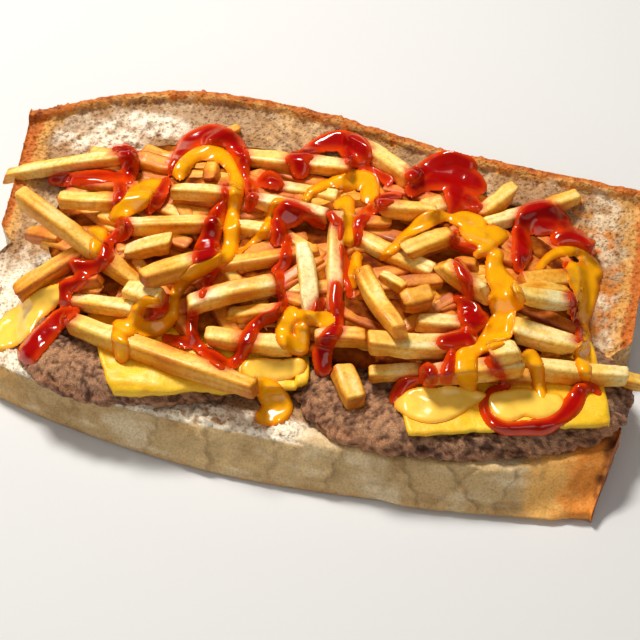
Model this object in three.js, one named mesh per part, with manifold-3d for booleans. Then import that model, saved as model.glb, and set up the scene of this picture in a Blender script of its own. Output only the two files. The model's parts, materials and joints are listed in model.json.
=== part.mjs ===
// A long roll, split along one side and opened flat, with two beef patties, two slices of
// cheese, a heap of fries, and thick ketchup and cheese sauce over the fries.
// Millimetres, +Z up. The loaf runs along X, its fold lies on y = 0, and it rests on z = 0.
import * as THREE from "three";
import Module from "manifold-3d";

const wasm = await Module();
wasm.setup();

// ---- Loaf ----
const LOAF = {
  half: 145,
  foldZ: 16,
  foldUnderZ: 5,
  cutRise: 5,
  rimWidth: 5,
  rimDrop: 4,
  bulge: 1.6,
  lip: 2.5,
  notchDepth: 8,
  notchHalf: 9,
  stations: 23,
};
const FRONT_FOOT = { mid: -90, leftIn: 24, rightIn: 15 };
const FRONT_CUT = { mid: -79, endIn: 27 };
const RIM_Y = [[-145, 67], [-110, 84], [-73, 92], [-19, 94], [48, 86], [104, 82], [145, 80]];
const RIM_Z = [[-145, 38], [-110, 42], [-73, 45], [-19, 44], [48, 41], [104, 41], [145, 41]];

// ---- Patties and cheese ----
const PATTY_THICK = 10.5;
const PATTY_EDGE = 6;
const PATTIES = [
  { name: "patty_left", x: -55, y: -41, length: 114, width: 78, turn: 12, power: 2.4, seed: 11 },
  { name: "patty_right", x: 81, y: -37, length: 140, width: 72, turn: 14, power: 2.4, seed: 23 },
];
const SLICE_THICK = 2.6;
const SLICES = [
  { name: "cheese_left", corners: [[-59, -83], [20, -57], [-4, 22], [-98, -18]] },
  { name: "cheese_right", corners: [[64, -75], [145, -47], [120, 28], [38, 5]] },
];

// ---- Heap ----
const HEAP = { rise: 24, edgeZ: 36, middleY: 8, halfDepth: 72, halfLength: 160 };
const CORE = { x: 3, y: 12, halfLength: 124, halfDepth: 60, below: 15, power: 2.8 };
const SINK = 1.4;
const GAP = 0.3;
const TRIM = 0.06;

// Fries that show, lowest first: where each end lies and how thick the fry is.
const FRIES = [
  [-90, 42, -64, 41, 8],
  [-43, 57, 10, 56, 7.5],
  [4, 81, 39, 58, 8],
  [-50, 78, -60, 61, 5],
  [-50, 35, -54, 50, 8],
  [72, 51, 83, 68, 8.5],
  [76, 41, 113, 73, 6.5],
  [96, 9, 115, 22, 8],
  [98, -1, 117, 13, 8],
  [45, 40, 56, 48, 8],
  [29, 30, 52, 36, 7.5],
  [-111, 4, -69, 12, 7],
  [-126, -4, -106, -10, 7],
  [-93, -23, -115, -41, 8],
  [-92, -40, -56, -46, 6.5],
  [-86, -54, 0, -70, 9],
  [-66, -38, -47, -44, 8],
  [-27, 21, 9, 19, 7],
  [-27, 39, 9, 40, 6.5],
  [-63, 18, -33, 22, 6.5],
  [-32, 8, -8, 8, 7],
  [-27, -48, 8, -44, 8],
  [-24, -35, 0, -32, 6.5],
  [-38, -40, -3, -21, 8],
  [-121, -11, -61, -30, 8],
  [-74, -15, -53, -13, 8],
  [-77, -7, -36, 3, 7],
  [-154, 36, -86, 36, 6.5],
  [-56, -42, -32, -16, 9],
  [31, -49, 41, -64, 9],
  [43, -50, 75, -41, 6.5],
  [66, -51, 104, -35, 8.5],
  [18, -42, 40, -37, 7.5],
  [41, -44, 82, -30, 8.5],
  [57, -23, 86, -17, 7.5],
  [29, -6, 54, -41, 7.5],
  [38, -7, 50, -13, 5],
  [22, 15, 58, 3, 8],
  [50, -20, 60, -13, 9],
  [68, 10, 78, 12, 7],
  [62, 3, 84, -8, 8],
  [46, 5, 64, 23, 7.5],
  [12, 22, 22, -25, 7],
  [2, -1, 14, -33, 8],
  [99, -17, 118, -17, 6.5],
  [95, -10, 119, 1, 7.5],
  [98, -18, 125, -17, 8.5],
  [144, -20, 157, -15, 6],
  [91, -39, 102, -33, 8],
  [108, -31, 147, -23, 8],
];

// Smaller fries between them: rows along the loaf, shifted and turned by seeded draws.
const UNDER = { rows: 4, columns: 4, length: 38, size: 7, turn: 26, seed: 7 };

// ---- Thick sauce: the line it was poured along, its width, and how far it stands up ----
const SAUCES = [
  { line: [[-92, 34], [-84, 26], [-80, 17]], width: 15, rise: 4 },
  { line: [[-78, 8], [-82, -1], [-86, -9]], width: 9, rise: 3 },
  { line: [[-67, 30], [-64, 48], [-56, 58], [-47, 54], [-43, 38], [-40, 24]], width: 10, rise: 4 },
  { line: [[-62, 12], [-74, 4], [-80, -8], [-82, -22]], width: 15, rise: 3 },
  { line: [[-36, 18], [-38, -2], [-44, -22], [-58, -44]], width: 9, rise: 3 },
  { line: [[-92, -33], [-78, -30], [-74, -20]], width: 13, rise: 4 },
  { line: [[-66, -44], [-54, -52], [-48, -40], [-60, -38]], width: 8, rise: 3 },
  { line: [[-46, -8], [-50, -22], [-56, -34]], width: 12, rise: 3 },
  { line: [[-10, -2], [-6, 10], [2, 16]], width: 16, rise: 4 },
  { line: [[-16, 60], [2, 74], [16, 68], [20, 52]], width: 13, rise: 4 },
  { line: [[4, 34], [18, 40], [26, 38]], width: 14, rise: 3 },
  { line: [[24, 22], [22, 6], [24, -10]], width: 8, rise: 3 },
  { line: [[44, 66], [56, 62], [60, 44], [64, 30]], width: 20, rise: 4 },
  { line: [[52, 16], [66, 22], [80, 18]], width: 13, rise: 4 },
  { line: [[84, 2], [88, -10], [86, -22], [76, -36], [74, -46]], width: 15, rise: 4 },
  { line: [[90, 8], [92, 28], [102, 38], [114, 32]], width: 12, rise: 4 },
  { line: [[104, 14], [116, 22], [124, 14], [127, -4], [128, -18]], width: 13, rise: 3 },
  { line: [[128, -30], [124, -36]], width: 9, rise: 3 },
  { line: [[106, -36], [108, -44]], width: 9, rise: 4 },
  { line: [[2, -36], [12, -38], [26, -38]], width: 12, rise: 3 },
  { line: [[24, -46], [22, -54]], width: 13, rise: 4 },
  { line: [[-16, -38], [-8, -48], [-14, -61]], width: 13, rise: 3 },
  { line: [[-80, -36], [-76, -46], [-70, -57]], width: 10, rise: 3 },
  { line: [[76, -26], [72, -36]], width: 13, rise: 3 },
];
// The same sauce where it lies on one slice or patty, clear of the heap.
const POOLS = {
  patty_left: [{ line: [[-90, -54], [-97, -62], [-101, -70]], width: 10, rise: 3 }],
  cheese_left: [{ line: [[-10, -59], [8, -57]], width: 12, rise: 3 }],
  cheese_right: [
    { line: [[68, -64], [86, -61]], width: 19, rise: 4 },
    { line: [[102, -57], [124, -52]], width: 15, rise: 4 },
  ],
};

// ---- Plain helpers ----
const rad = THREE.MathUtils.degToRad;
const lerp = THREE.MathUtils.lerp;
const clamp = THREE.MathUtils.clamp;

function seeded(seed) {
  let state = seed * 2654435761 % 4294967296;
  return () => {
    state = (state * 1664525 + 1013904223) % 4294967296;
    return state / 4294967296;
  };
}

// A smooth line through [x, value] pairs.
function along(keys, x) {
  const last = keys.length - 1;
  if (x <= keys[0][0]) return keys[0][1];
  if (x >= keys[last][0]) return keys[last][1];
  const i = keys.findIndex((key) => key[0] > x) - 1;
  const [p0, p1, p2, p3] = [keys[Math.max(0, i - 1)], keys[i], keys[i + 1], keys[Math.min(last, i + 2)]];
  const step = p2[0] - p1[0];
  const t = (x - p1[0]) / step;
  const rise1 = (step * (p2[1] - p0[1])) / (p2[0] - p0[0]);
  const rise2 = (step * (p3[1] - p1[1])) / (p3[0] - p1[0]);
  const ease = t * t * (3 - 2 * t);
  return lerp(p1[1], p2[1], ease) + t * (1 - t) * ((1 - t) * rise1 - t * rise2);
}

// Soft unevenness between -1 and 1.
function uneven(a, b, seed = 0) {
  const wave = Math.sin(a * 1.7 + seed) + Math.sin(b * 2.3 - seed * 1.3);
  return (wave + Math.sin(a * 3.1 - b * 2.7 + seed * 0.7) + Math.sin(a * 0.9 + b * 1.9)) / 4;
}

// ---- Meshes and solids ----
function solidOf(points, faces) {
  return new wasm.Manifold(
    new wasm.Mesh({
      numProp: 3,
      vertProperties: new Float32Array(points.flat()),
      triVerts: new Uint32Array(faces.flat()),
    }),
  );
}

function geometryOf(solid) {
  const mesh = solid.getMesh();
  const geometry = new THREE.BufferGeometry();
  geometry.setAttribute("position", new THREE.BufferAttribute(mesh.vertProperties, 3));
  geometry.setIndex(new THREE.BufferAttribute(mesh.triVerts, 1));
  geometry.computeVertexNormals();
  return geometry;
}

// The outer skin of the largest body: hollows sealed by joining are filled, scraps dropped.
function largestBody(solid) {
  const bodies = solid.decompose();
  return bodies.reduce((best, body) => (body.volume() > best.volume() ? body : best));
}

// Joins closed rings of equal length into a tube with flat ends. The rings run
// anticlockwise as seen from the last ring back to the first.
function tubeOf(rings) {
  const size = rings[0].length;
  const last = (rings.length - 1) * size;
  const faces = [];
  for (let i = 0; i + 1 < rings.length; i += 1) {
    for (let j = 0; j < size; j += 1) {
      const a = i * size + j;
      const b = i * size + ((j + 1) % size);
      faces.push([a, b, b + size], [a, b + size, a + size]);
    }
  }
  for (let j = 1; j + 1 < size; j += 1) {
    faces.push([0, j + 1, j], [last, last + j, last + j + 1]);
  }
  return solidOf(rings.flat(), faces);
}

// A closed slab over a grid: above[i][j] and below[i][j] are its points.
function slabOf(above, below) {
  const rows = above.length;
  const columns = above[0].length;
  const points = [...above.flat(), ...below.flat()];
  const under = rows * columns;
  const at = (i, j) => i * columns + j;
  const faces = [];
  for (let i = 0; i + 1 < rows; i += 1) {
    for (let j = 0; j + 1 < columns; j += 1) {
      const [a, b, c, d] = [at(i, j), at(i + 1, j), at(i + 1, j + 1), at(i, j + 1)];
      faces.push([a, b, c], [a, c, d]);
      faces.push([under + a, under + c, under + b], [under + a, under + d, under + c]);
    }
  }
  const edge = [];
  for (let i = 0; i < rows; i += 1) edge.push(at(i, 0));
  for (let j = 1; j < columns; j += 1) edge.push(at(rows - 1, j));
  for (let i = rows - 2; i >= 0; i -= 1) edge.push(at(i, columns - 1));
  for (let j = columns - 2; j > 0; j -= 1) edge.push(at(0, j));
  edge.forEach((a, k) => {
    const b = edge[(k + 1) % edge.length];
    faces.push([a, under + a, under + b], [a, under + b, b]);
  });
  return solidOf(points, faces);
}

// ---- The loaf's shape ----
const frontFoot = (x) => {
  const t = Math.abs(x) / LOAF.half;
  return FRONT_FOOT.mid + (x < 0 ? FRONT_FOOT.leftIn * t * t : FRONT_FOOT.rightIn * t ** 1.5);
};
const frontCut = (x) => FRONT_CUT.mid + FRONT_CUT.endIn * (Math.abs(x) / LOAF.half) ** 4;
const leftSag = (x) => 5 * clamp((-x - 95) / 50, 0, 1) ** 2;
const frontCrumb = (y) => LOAF.foldZ - (LOAF.cutRise * y) / -FRONT_CUT.mid;

function backCrumb(x, y) {
  const t = clamp(y / (along(RIM_Y, x) - LOAF.rimWidth), 0, 1);
  const rise = along(RIM_Z, x) - LOAF.rimDrop - LOAF.foldZ;
  return LOAF.foldZ + rise * t * (0.35 + 0.65 * t);
}

const crumb = (x, y) => (y < 0 ? frontCrumb(y) - leftSag(x) : backCrumb(x, y));

// How far a loaf end stands beyond the plain half length.
function endShift(side, y) {
  const notch = LOAF.notchDepth * Math.max(0, 1 - Math.abs(y) / LOAF.notchHalf);
  if (side < 0) return (y > 0 ? (5 * y) / 66 - 4 : -3) - notch + 3;
  return (y < -40 ? 2 - (6 * (-y - 40)) / 35 : 1) - notch + 1;
}

// One cross-section: the shown side and the underside, from the front foot to the back rim.
function loafSection(x, grow) {
  const foot = frontFoot(x) - grow;
  const cut = frontCut(x) - grow * 0.5;
  const cutZ = frontCrumb(frontCut(x)) - leftSag(x) + grow;
  const rimY = along(RIM_Y, x);
  const rimZ = along(RIM_Z, x) + grow;
  const lip = LOAF.lip * clamp(Math.min(x - 55, 138 - x) / 10, 0, 1);
  const fold = 0.9 * uneven(x * 0.05, 1, 3);
  const shown = [
    [foot, 1],
    [foot - lip, 2.5],
    [foot + 0.6, 5],
    [lerp(foot, cut, 0.42) - LOAF.bulge + fold, cutZ * 0.42],
    [lerp(foot, cut, 0.76) - LOAF.bulge - fold, cutZ * 0.76],
    [cut, cutZ],
  ];
  for (const t of [0.94, 0.7, 0.45, 0.2]) {
    const y = t * frontCut(x);
    shown.push([y, frontCrumb(y) - leftSag(x) + grow]);
  }
  shown.push([0, LOAF.foldZ + grow]);
  for (const t of [0.12, 0.28, 0.45, 0.62, 0.78, 0.9]) {
    const y = t * (rimY - LOAF.rimWidth);
    shown.push([y, backCrumb(x, y) + grow * 1.1]);
  }
  shown.push([rimY - LOAF.rimWidth, rimZ - LOAF.rimDrop]);
  shown.push([rimY - LOAF.rimWidth + 1.5 - grow, rimZ - 0.8]);
  shown.push([rimY - 1, rimZ]);
  shown.push([rimY + 1 + grow, rimZ - 2.5]);
  const under = [shown[0]];
  for (const t of [0.97, 0.94, 0.9, 0.84, 0.76, 0.64, 0.5, 0.38, 0.22]) {
    under.push([t * foot, -grow]);
  }
  under.push([0, LOAF.foldUnderZ - grow]);
  const dome = [[0.16, 1], [0.32, 0], [0.48, 0], [0.64, 0], [0.78, 3], [0.88, 9], [0.95, 16]];
  for (const [t, z] of dome) under.push([t * rimY, z - grow]);
  under.push([rimY + 0.5, 0.55 * rimZ - grow]);
  under.push([rimY + 2.5 + grow, 0.76 * rimZ]);
  under.push(shown[shown.length - 1]);
  return { shown, under };
}

function loaf(grow = 0) {
  const above = [];
  const below = [];
  for (let i = 0; i < LOAF.stations; i += 1) {
    const s = (2 * i) / (LOAF.stations - 1) - 1;
    const spread = Math.sin((s * Math.PI) / 2) * 0.35 + s * 0.65;
    const x = spread * LOAF.half;
    const { shown, under } = loafSection(x, grow);
    const weight = Math.abs(spread) ** 12;
    const placed = ([y, z]) => [x + Math.sign(s) * (endShift(s, y) + grow) * weight, y, z];
    above.push(shown.map(placed));
    below.push(under.map(placed));
  }
  // The shown side and the underside meet along the foot and the rim.
  const size = above[0].length;
  const rings = above.map((row, i) => [...row, ...below[i].slice(1, size - 1).reverse()]);
  return loafFromRings(rings, size);
}

// Closes the ends with strips between the shown side and the underside.
function loafFromRings(rings, size) {
  const ring = rings[0].length;
  const last = (rings.length - 1) * ring;
  const faces = [];
  for (let i = 0; i + 1 < rings.length; i += 1) {
    for (let j = 0; j < ring; j += 1) {
      const a = i * ring + j;
      const b = i * ring + ((j + 1) % ring);
      faces.push([a, b + ring, b], [a, a + ring, b + ring]);
    }
  }
  const under = (j) => (j === 0 ? 0 : ring - j);
  for (let j = 0; j + 1 < size; j += 1) {
    const quad = [j, j + 1, j + 1 === size - 1 ? j + 1 : under(j + 1), under(j)];
    for (const [a, b, c] of [[quad[0], quad[1], quad[2]], [quad[0], quad[2], quad[3]]]) {
      if (a === b || b === c || a === c) continue;
      faces.push([a, b, c], [last + a, last + c, last + b]);
    }
  }
  return solidOf(rings.flat(), faces);
}

// ---- Patties ----
const pattyBase = (y) => frontCrumb(Math.min(y, 0)) + GAP + 0.1;

// 0 in the middle of a patty, 1 at its uneven edge.
function pattyReach(patty, x, y) {
  const turn = rad(patty.turn);
  const dx = x - patty.x;
  const dy = y - patty.y;
  const u = (dx * Math.cos(turn) + dy * Math.sin(turn)) / (patty.length / 2);
  const v = (dy * Math.cos(turn) - dx * Math.sin(turn)) / (patty.width / 2);
  const { power } = patty;
  return (Math.abs(u) ** power + Math.abs(v) ** power) ** (1 / power) / ragged(patty, Math.atan2(v, u));
}

const ragged = (patty, angle) => 1 + 0.02 * uneven(angle * 2.2, Math.sin(angle) * 3, patty.seed);

const pattyTop = (reach, y) =>
  pattyBase(y) + PATTY_THICK - PATTY_EDGE * clamp((reach - 0.8) / 0.2, 0, 1) ** 2.2;

function pattySolid(patty, grow = 0) {
  const sectors = 36;
  const random = seeded(patty.seed);
  const turn = rad(patty.turn);
  const { power } = patty;
  const shares = [0.35, 0.65, 0.82, 0.92, 1];
  const ringAt = (share, lift) => {
    const ring = [];
    for (let k = 0; k < sectors; k += 1) {
      const angle = (2 * Math.PI * k) / sectors;
      const c = Math.abs(Math.cos(angle));
      const s = Math.abs(Math.sin(angle));
      const round = (c ** power + s ** power) ** (-1 / power);
      const out = share * round * ragged(patty, angle);
      const u = out * Math.cos(angle) * (patty.length / 2 + grow);
      const v = out * Math.sin(angle) * (patty.width / 2 + grow);
      const x = patty.x + u * Math.cos(turn) - v * Math.sin(turn);
      const y = patty.y + u * Math.sin(turn) + v * Math.cos(turn);
      ring.push([x, y, lift(y, share)]);
    }
    return ring;
  };
  const crags = () => 0.9 * random() * (grow ? 0 : 1);
  const tops = shares.map((s) => ringAt(s, (y) => pattyTop(s, y) + grow - crags()));
  const sideHigh = ringAt(1.012, (y) => pattyBase(y) + 3.2 + crags() * 0.6);
  const sideLow = ringAt(0.985, (y) => pattyBase(y) + 1.2 - grow + crags() * 0.4);
  const bottoms = [0.93, 0.6].map((s) => ringAt(s, (y) => pattyBase(y) - grow));
  const rings = [...bottoms.reverse(), sideLow, sideHigh, ...tops.reverse()];
  return tubeOf(rings);
}

// ---- What lies under the cheese and the heap ----
function restZ(x, y) {
  let z = y < frontCut(x) ? 0 : crumb(x, y);
  for (const patty of PATTIES) {
    const reach = pattyReach(patty, x, y);
    if (reach <= 1.02) z = Math.max(z, pattyTop(Math.min(reach, 1), y));
  }
  return z;
}

// The lie of a soft slice: the patties where they carry it, and a gentle droop past them.
function softZ(x, y) {
  const droop = y < 0 ? pattyBase(y) + PATTY_THICK * 0.6 : pattyBase(0) + 8 - 0.22 * y;
  let z = Math.max(droop, crumb(x, y) + 1);
  for (let k = 0; k < 8; k += 1) {
    const angle = (Math.PI * k) / 4;
    z = Math.max(z, restZ(x + 2.5 * Math.cos(angle), y + 2.5 * Math.sin(angle)));
  }
  return Math.max(z, restZ(x, y)) + GAP + 0.2;
}

function slicePlace(corners, u, v) {
  const [a, b, c, d] = corners;
  const near = [lerp(a[0], b[0], u), lerp(a[1], b[1], u)];
  const far = [lerp(d[0], c[0], u), lerp(d[1], c[1], u)];
  return [lerp(near[0], far[0], v), lerp(near[1], far[1], v)];
}

function sliceSolid(slice, grow = 0) {
  const cells = 10;
  const above = [];
  const below = [];
  for (let i = 0; i <= cells; i += 1) {
    const rowAbove = [];
    const rowBelow = [];
    for (let j = 0; j <= cells; j += 1) {
      const u = (i / cells - 0.5) * (1 + grow / 42) + 0.5;
      const v = (j / cells - 0.5) * (1 + grow / 42) + 0.5;
      const [x, y] = slicePlace(slice.corners, u, v);
      const z = softZ(x, y);
      rowAbove.push([x, y, z + SLICE_THICK + grow]);
      rowBelow.push([x, y, z - grow]);
    }
    above.push(rowAbove);
    below.push(rowBelow);
  }
  return slabOf(above, below);
}

// ---- Height map of the heap, one cell for each millimetre ----
const MAP = { x: 168, y: 104 };

class HeightMap {
  constructor() {
    this.columns = 2 * MAP.x + 1;
    this.z = new Float32Array(this.columns * (2 * MAP.y + 1));
  }
  cell(x, y) {
    const i = clamp(Math.round(x) + MAP.x, 0, 2 * MAP.x);
    const j = clamp(Math.round(y) + MAP.y, 0, 2 * MAP.y);
    return j * this.columns + i;
  }
  at(x, y) {
    return this.z[this.cell(x, y)];
  }
  raise(x, y, z) {
    const cell = this.cell(x, y);
    this.z[cell] = Math.max(this.z[cell], z);
  }
  highest(x, y, radius) {
    let z = this.at(x, y);
    for (let k = 0; k < 8; k += 1) {
      const angle = (Math.PI * k) / 4;
      z = Math.max(z, this.at(x + radius * Math.cos(angle), y + radius * Math.sin(angle)));
    }
    return z;
  }
}

const heapZ = (x, y) => {
  const across = 1 - ((y - HEAP.middleY) / HEAP.halfDepth) ** 2;
  const lengthways = 1 - (x / HEAP.halfLength) ** 4;
  return HEAP.edgeZ + HEAP.rise * Math.max(0, across) * Math.max(0, lengthways);
};

const coreReach = (x, y) => {
  const u = Math.abs((x - CORE.x) / CORE.halfLength);
  const v = Math.abs((y - CORE.y) / CORE.halfDepth);
  return (u ** CORE.power + v ** CORE.power) ** (1 / CORE.power);
};

// The packed middle of the heap, which the outer fries rest on.
function coreSolid(map) {
  const rings = [];
  const sectors = 28;
  const top = (x, y, share) => {
    const lowest = map.highest(x, y, 6) + 2.5 - share;
    return Math.max(lowest, heapZ(x, y) - CORE.below - 6 * share ** 4);
  };
  const ringAt = (share, height) => {
    const ring = [];
    for (let k = 0; k < sectors; k += 1) {
      const angle = (2 * Math.PI * k) / sectors;
      const c = Math.cos(angle);
      const s = Math.sin(angle);
      const round = (Math.abs(c) ** CORE.power + Math.abs(s) ** CORE.power) ** (-1 / CORE.power);
      const x = CORE.x + share * round * c * CORE.halfLength;
      const y = CORE.y + share * round * s * CORE.halfDepth;
      ring.push([x, y, height(x, y)]);
    }
    return ring;
  };
  const floor = (x, y) => map.highest(x, y, 6) + GAP;
  for (const share of [0.35, 0.7, 0.93]) rings.push(ringAt(share, floor));
  for (const share of [1, 0.85, 0.6, 0.3]) {
    rings.push(ringAt(share, (x, y) => top(x, y, share)));
  }
  const heights = [];
  for (let x = -MAP.x; x <= MAP.x; x += 1) {
    for (let y = -MAP.y; y <= MAP.y; y += 1) {
      const share = coreReach(x, y);
      if (share < 1) heights.push([x, y, top(x, y, share)]);
    }
  }
  for (const [x, y, z] of heights) map.raise(x, y, z);
  return tubeOf(rings);
}

// ---- Fries ----
// The straight line that a fry lies along once it has come down on what is below it.
function restingLine(map, [x1, y1, x2, y2, size]) {
  const length = Math.hypot(x2 - x1, y2 - y1);
  const [ux, uy] = [(x2 - x1) / length, (y2 - y1) / length];
  const points = [];
  for (let s = 0; s <= length; s += 1) {
    let z = 0;
    for (const side of [-0.35, 0, 0.35]) {
      z = Math.max(z, map.at(x1 + ux * s - uy * side * size, y1 + uy * s + ux * side * size));
    }
    points.push([s, z]);
  }
  const hull = [];
  for (const point of points) {
    while (hull.length > 1) {
      const [a, b] = hull.slice(-2);
      const turn = (b[0] - a[0]) * (point[1] - a[1]) - (b[1] - a[1]) * (point[0] - a[0]);
      if (turn < 0) break;
      hull.pop();
    }
    hull.push(point);
  }
  const middle = length / 2;
  const next = hull.findIndex((point) => point[0] >= middle);
  const [a, b] = [hull[Math.max(0, next - 1)], hull[Math.max(1, next)]];
  const slope = clamp((b[1] - a[1]) / (b[0] - a[0]), -0.45, 0.45);
  const start = Math.max(...hull.map((point) => point[1] - slope * point[0]));
  return { length, ux, uy, start, slope };
}

function fryRings(fry, line, random, fine) {
  const [x1, y1, , , size] = fry;
  const shares = fine ? [0, 0.5, 1] : [0, 1];
  const bend = fine ? (random() - 0.5) * 0.06 * line.length : 0;
  const roll = rad((random() - 0.5) * 24);
  return shares.map((share) => {
    const s = share * line.length;
    const off = bend * Math.sin(Math.PI * share);
    const cx = x1 + line.ux * s - line.uy * off;
    const cy = y1 + line.uy * s + line.ux * off;
    const cz = line.start + line.slope * s + size / 2 - SINK;
    const ring = [];
    for (let k = 0; k < 4; k += 1) {
      const angle = roll + (Math.PI / 2) * (k + 0.5);
      const reach = size * 0.655;
      const across = reach * Math.cos(angle);
      ring.push([cx - line.uy * across, cy + line.ux * across, cz + reach * Math.sin(angle)]);
    }
    return ring;
  });
}

function raiseAlong(map, fry, line) {
  const [x1, y1, , , size] = fry;
  for (let s = 0; s <= line.length; s += 0.5) {
    const top = line.start + line.slope * s + size - SINK;
    for (let side = -0.45; side <= 0.45; side += 0.15) {
      const off = side * size;
      map.raise(x1 + line.ux * s - line.uy * off, y1 + line.uy * s + line.ux * off, top);
    }
  }
}

function underFries() {
  const random = seeded(UNDER.seed);
  const fries = [];
  for (let row = 0; row < UNDER.rows; row += 1) {
    for (let column = 0; column < UNDER.columns; column += 1) {
      const x = lerp(-98, 104, (column + 0.5 * (row % 2)) / (UNDER.columns - 0.5));
      const y = lerp(-34, 52, row / (UNDER.rows - 1)) + 6 * (random() - 0.5);
      const turn = rad(UNDER.turn * 2 * (random() - 0.5));
      const half = UNDER.length * (0.4 + 0.2 * random());
      const [dx, dy] = [half * Math.cos(turn), half * Math.sin(turn)];
      fries.push([x - dx, y - dy, x + dx, y + dy, UNDER.size]);
    }
  }
  return fries;
}

function addFries(solid, map, fries, seed, fine) {
  const random = seeded(seed);
  for (const fry of fries) {
    const line = restingLine(map, fry);
    solid = solid.add(tubeOf(fryRings(fry, line, random, fine)));
    raiseAlong(map, fry, line);
  }
  return solid;
}

// ---- Sauce ----
// Across a strand, in half widths, and down from its top, in millimetres.
const STRAND = [[-0.9, -4.5], [0.9, -4.5], [1, -2.5], [0.4, 0], [-0.4, 0], [-1, -2.5]];

// A strand of thick sauce: straight lengths from point to point, draped over what is below.
function sauceSolid({ line, width, rise }, map, grow = 0) {
  const lengths = line.slice(1).map(([x2, y2], i) => {
    const [x1, y1] = line[i];
    const way = new THREE.Vector2(x2 - x1, y2 - y1).normalize().multiplyScalar(width / 2 + grow);
    const lap = i > 0 ? 0.3 : 0;
    const ends = [[x1 - way.x * lap, y1 - way.y * lap], [x2, y2]];
    return tubeOf(ends.map(([x, y]) => {
      const top = map.highest(x, y, 2) + rise + grow;
      return STRAND.map(([across, drop]) => [x - way.y * across, y + way.x * across, top + drop]);
    }));
  });
  return lengths.reduce((solid, next) => solid.add(next));
}

// ---- Assembly ----
function buildSolids() {
  const solids = { bread: loaf() };
  const fat = [loaf(GAP)];
  for (const patty of PATTIES) {
    solids[patty.name] = pattySolid(patty);
    fat.push(pattySolid(patty, GAP));
  }
  for (const slice of SLICES) {
    solids[slice.name] = sliceSolid(slice);
    fat.push(sliceSolid(slice, GAP));
  }
  const map = new HeightMap();
  for (let x = -MAP.x; x <= MAP.x; x += 1) {
    for (let y = -MAP.y; y <= MAP.y; y += 1) {
      if (Math.abs(x) < LOAF.half && y > frontCut(x) && y < along(RIM_Y, x)) {
        map.raise(x, y, restZ(x, y) + GAP);
      }
    }
  }
  for (const slice of SLICES) {
    for (let u = 0; u <= 1; u += 0.008) {
      for (let v = 0; v <= 1; v += 0.008) {
        const [x, y] = slicePlace(slice.corners, u, v);
        map.raise(x, y, softZ(x, y) + SLICE_THICK + GAP);
      }
    }
  }
  for (const [name, pools] of Object.entries(POOLS)) {
    for (const pool of pools) {
      solids[name] = solids[name].add(sauceSolid(pool, map));
      fat.push(sauceSolid(pool, map, GAP));
    }
  }
  let fries = coreSolid(map);
  fries = addFries(fries, map, underFries(), 3, false);
  fries = addFries(fries, map, FRIES, 5, true);
  for (const sauce of SAUCES) {
    fries = fries.add(sauceSolid(sauce, map));
  }
  for (const solid of fat) fries = fries.subtract(solid);
  solids.fries = largestBody(fries).simplify(TRIM);
  return solids;
}

const COLOURS = {
  bread: 0xd9b98a,
  patty_left: 0x6b4a3a,
  patty_right: 0x6b4a3a,
  cheese_left: 0xf5b921,
  cheese_right: 0xf5b921,
  fries: 0xe8b85c,
};

function assemble() {
  const group = new THREE.Group();
  for (const [name, solid] of Object.entries(buildSolids())) {
    const material = new THREE.MeshStandardMaterial({ color: COLOURS[name], roughness: 0.7, metalness: 0 });
    const mesh = new THREE.Mesh(geometryOf(solid), material);
    mesh.name = name;
    group.add(mesh);
  }
  const box = new THREE.Box3().setFromObject(group);
  const middle = box.getCenter(new THREE.Vector3());
  for (const mesh of group.children) mesh.geometry.translate(-middle.x, -middle.y, -box.min.z);
  return group;
}

const group = assemble();
export default group;
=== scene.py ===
"""Looks of a long roll, split and opened flat, under beef patties, cheese, fries and sauce.

Lengths are millimetres in the loaf's own frame until a piece is made: X along the loaf, Y to
the raised back half, Z up, with the fold on y = 0. make_piece() turns them into metres.
"""

import json
import math

import bpy
import numpy as np
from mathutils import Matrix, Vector
from mathutils.bvhtree import BVHTree


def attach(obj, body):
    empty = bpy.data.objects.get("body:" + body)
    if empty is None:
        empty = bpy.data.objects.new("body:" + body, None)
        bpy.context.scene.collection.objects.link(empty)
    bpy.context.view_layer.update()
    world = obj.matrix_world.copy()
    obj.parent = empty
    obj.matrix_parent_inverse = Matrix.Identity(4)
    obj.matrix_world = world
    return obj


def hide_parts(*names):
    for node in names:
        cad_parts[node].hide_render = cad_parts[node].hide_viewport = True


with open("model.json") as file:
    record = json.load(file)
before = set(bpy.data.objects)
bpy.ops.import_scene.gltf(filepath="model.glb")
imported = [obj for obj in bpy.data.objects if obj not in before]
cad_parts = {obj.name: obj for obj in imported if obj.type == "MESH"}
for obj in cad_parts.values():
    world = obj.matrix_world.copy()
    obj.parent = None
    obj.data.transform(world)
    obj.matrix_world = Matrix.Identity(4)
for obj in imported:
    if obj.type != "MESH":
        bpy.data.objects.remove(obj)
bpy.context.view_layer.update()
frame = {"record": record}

# ---- Frame ----
MM = 0.001
BASE_AT = (0.0, -40.0)  # where the flat face to rest on lies in the loaf's own frame
BASE = frame["record"]["mounts"][0]["pos_m"]
SHIFT = np.array([BASE[0] / MM - BASE_AT[0], BASE[1] / MM - BASE_AT[1], 0.0])

# ---- Camera, in the loaf's frame ----
PHOTO_SIDE = 640
LENS = 85.0
SENSOR = 36.0
AZIMUTH = 14.0
ELEVATION = 50.0
DISTANCE = 672.0
TARGET = np.array([12.0, -9.0, 15.0])

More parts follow.
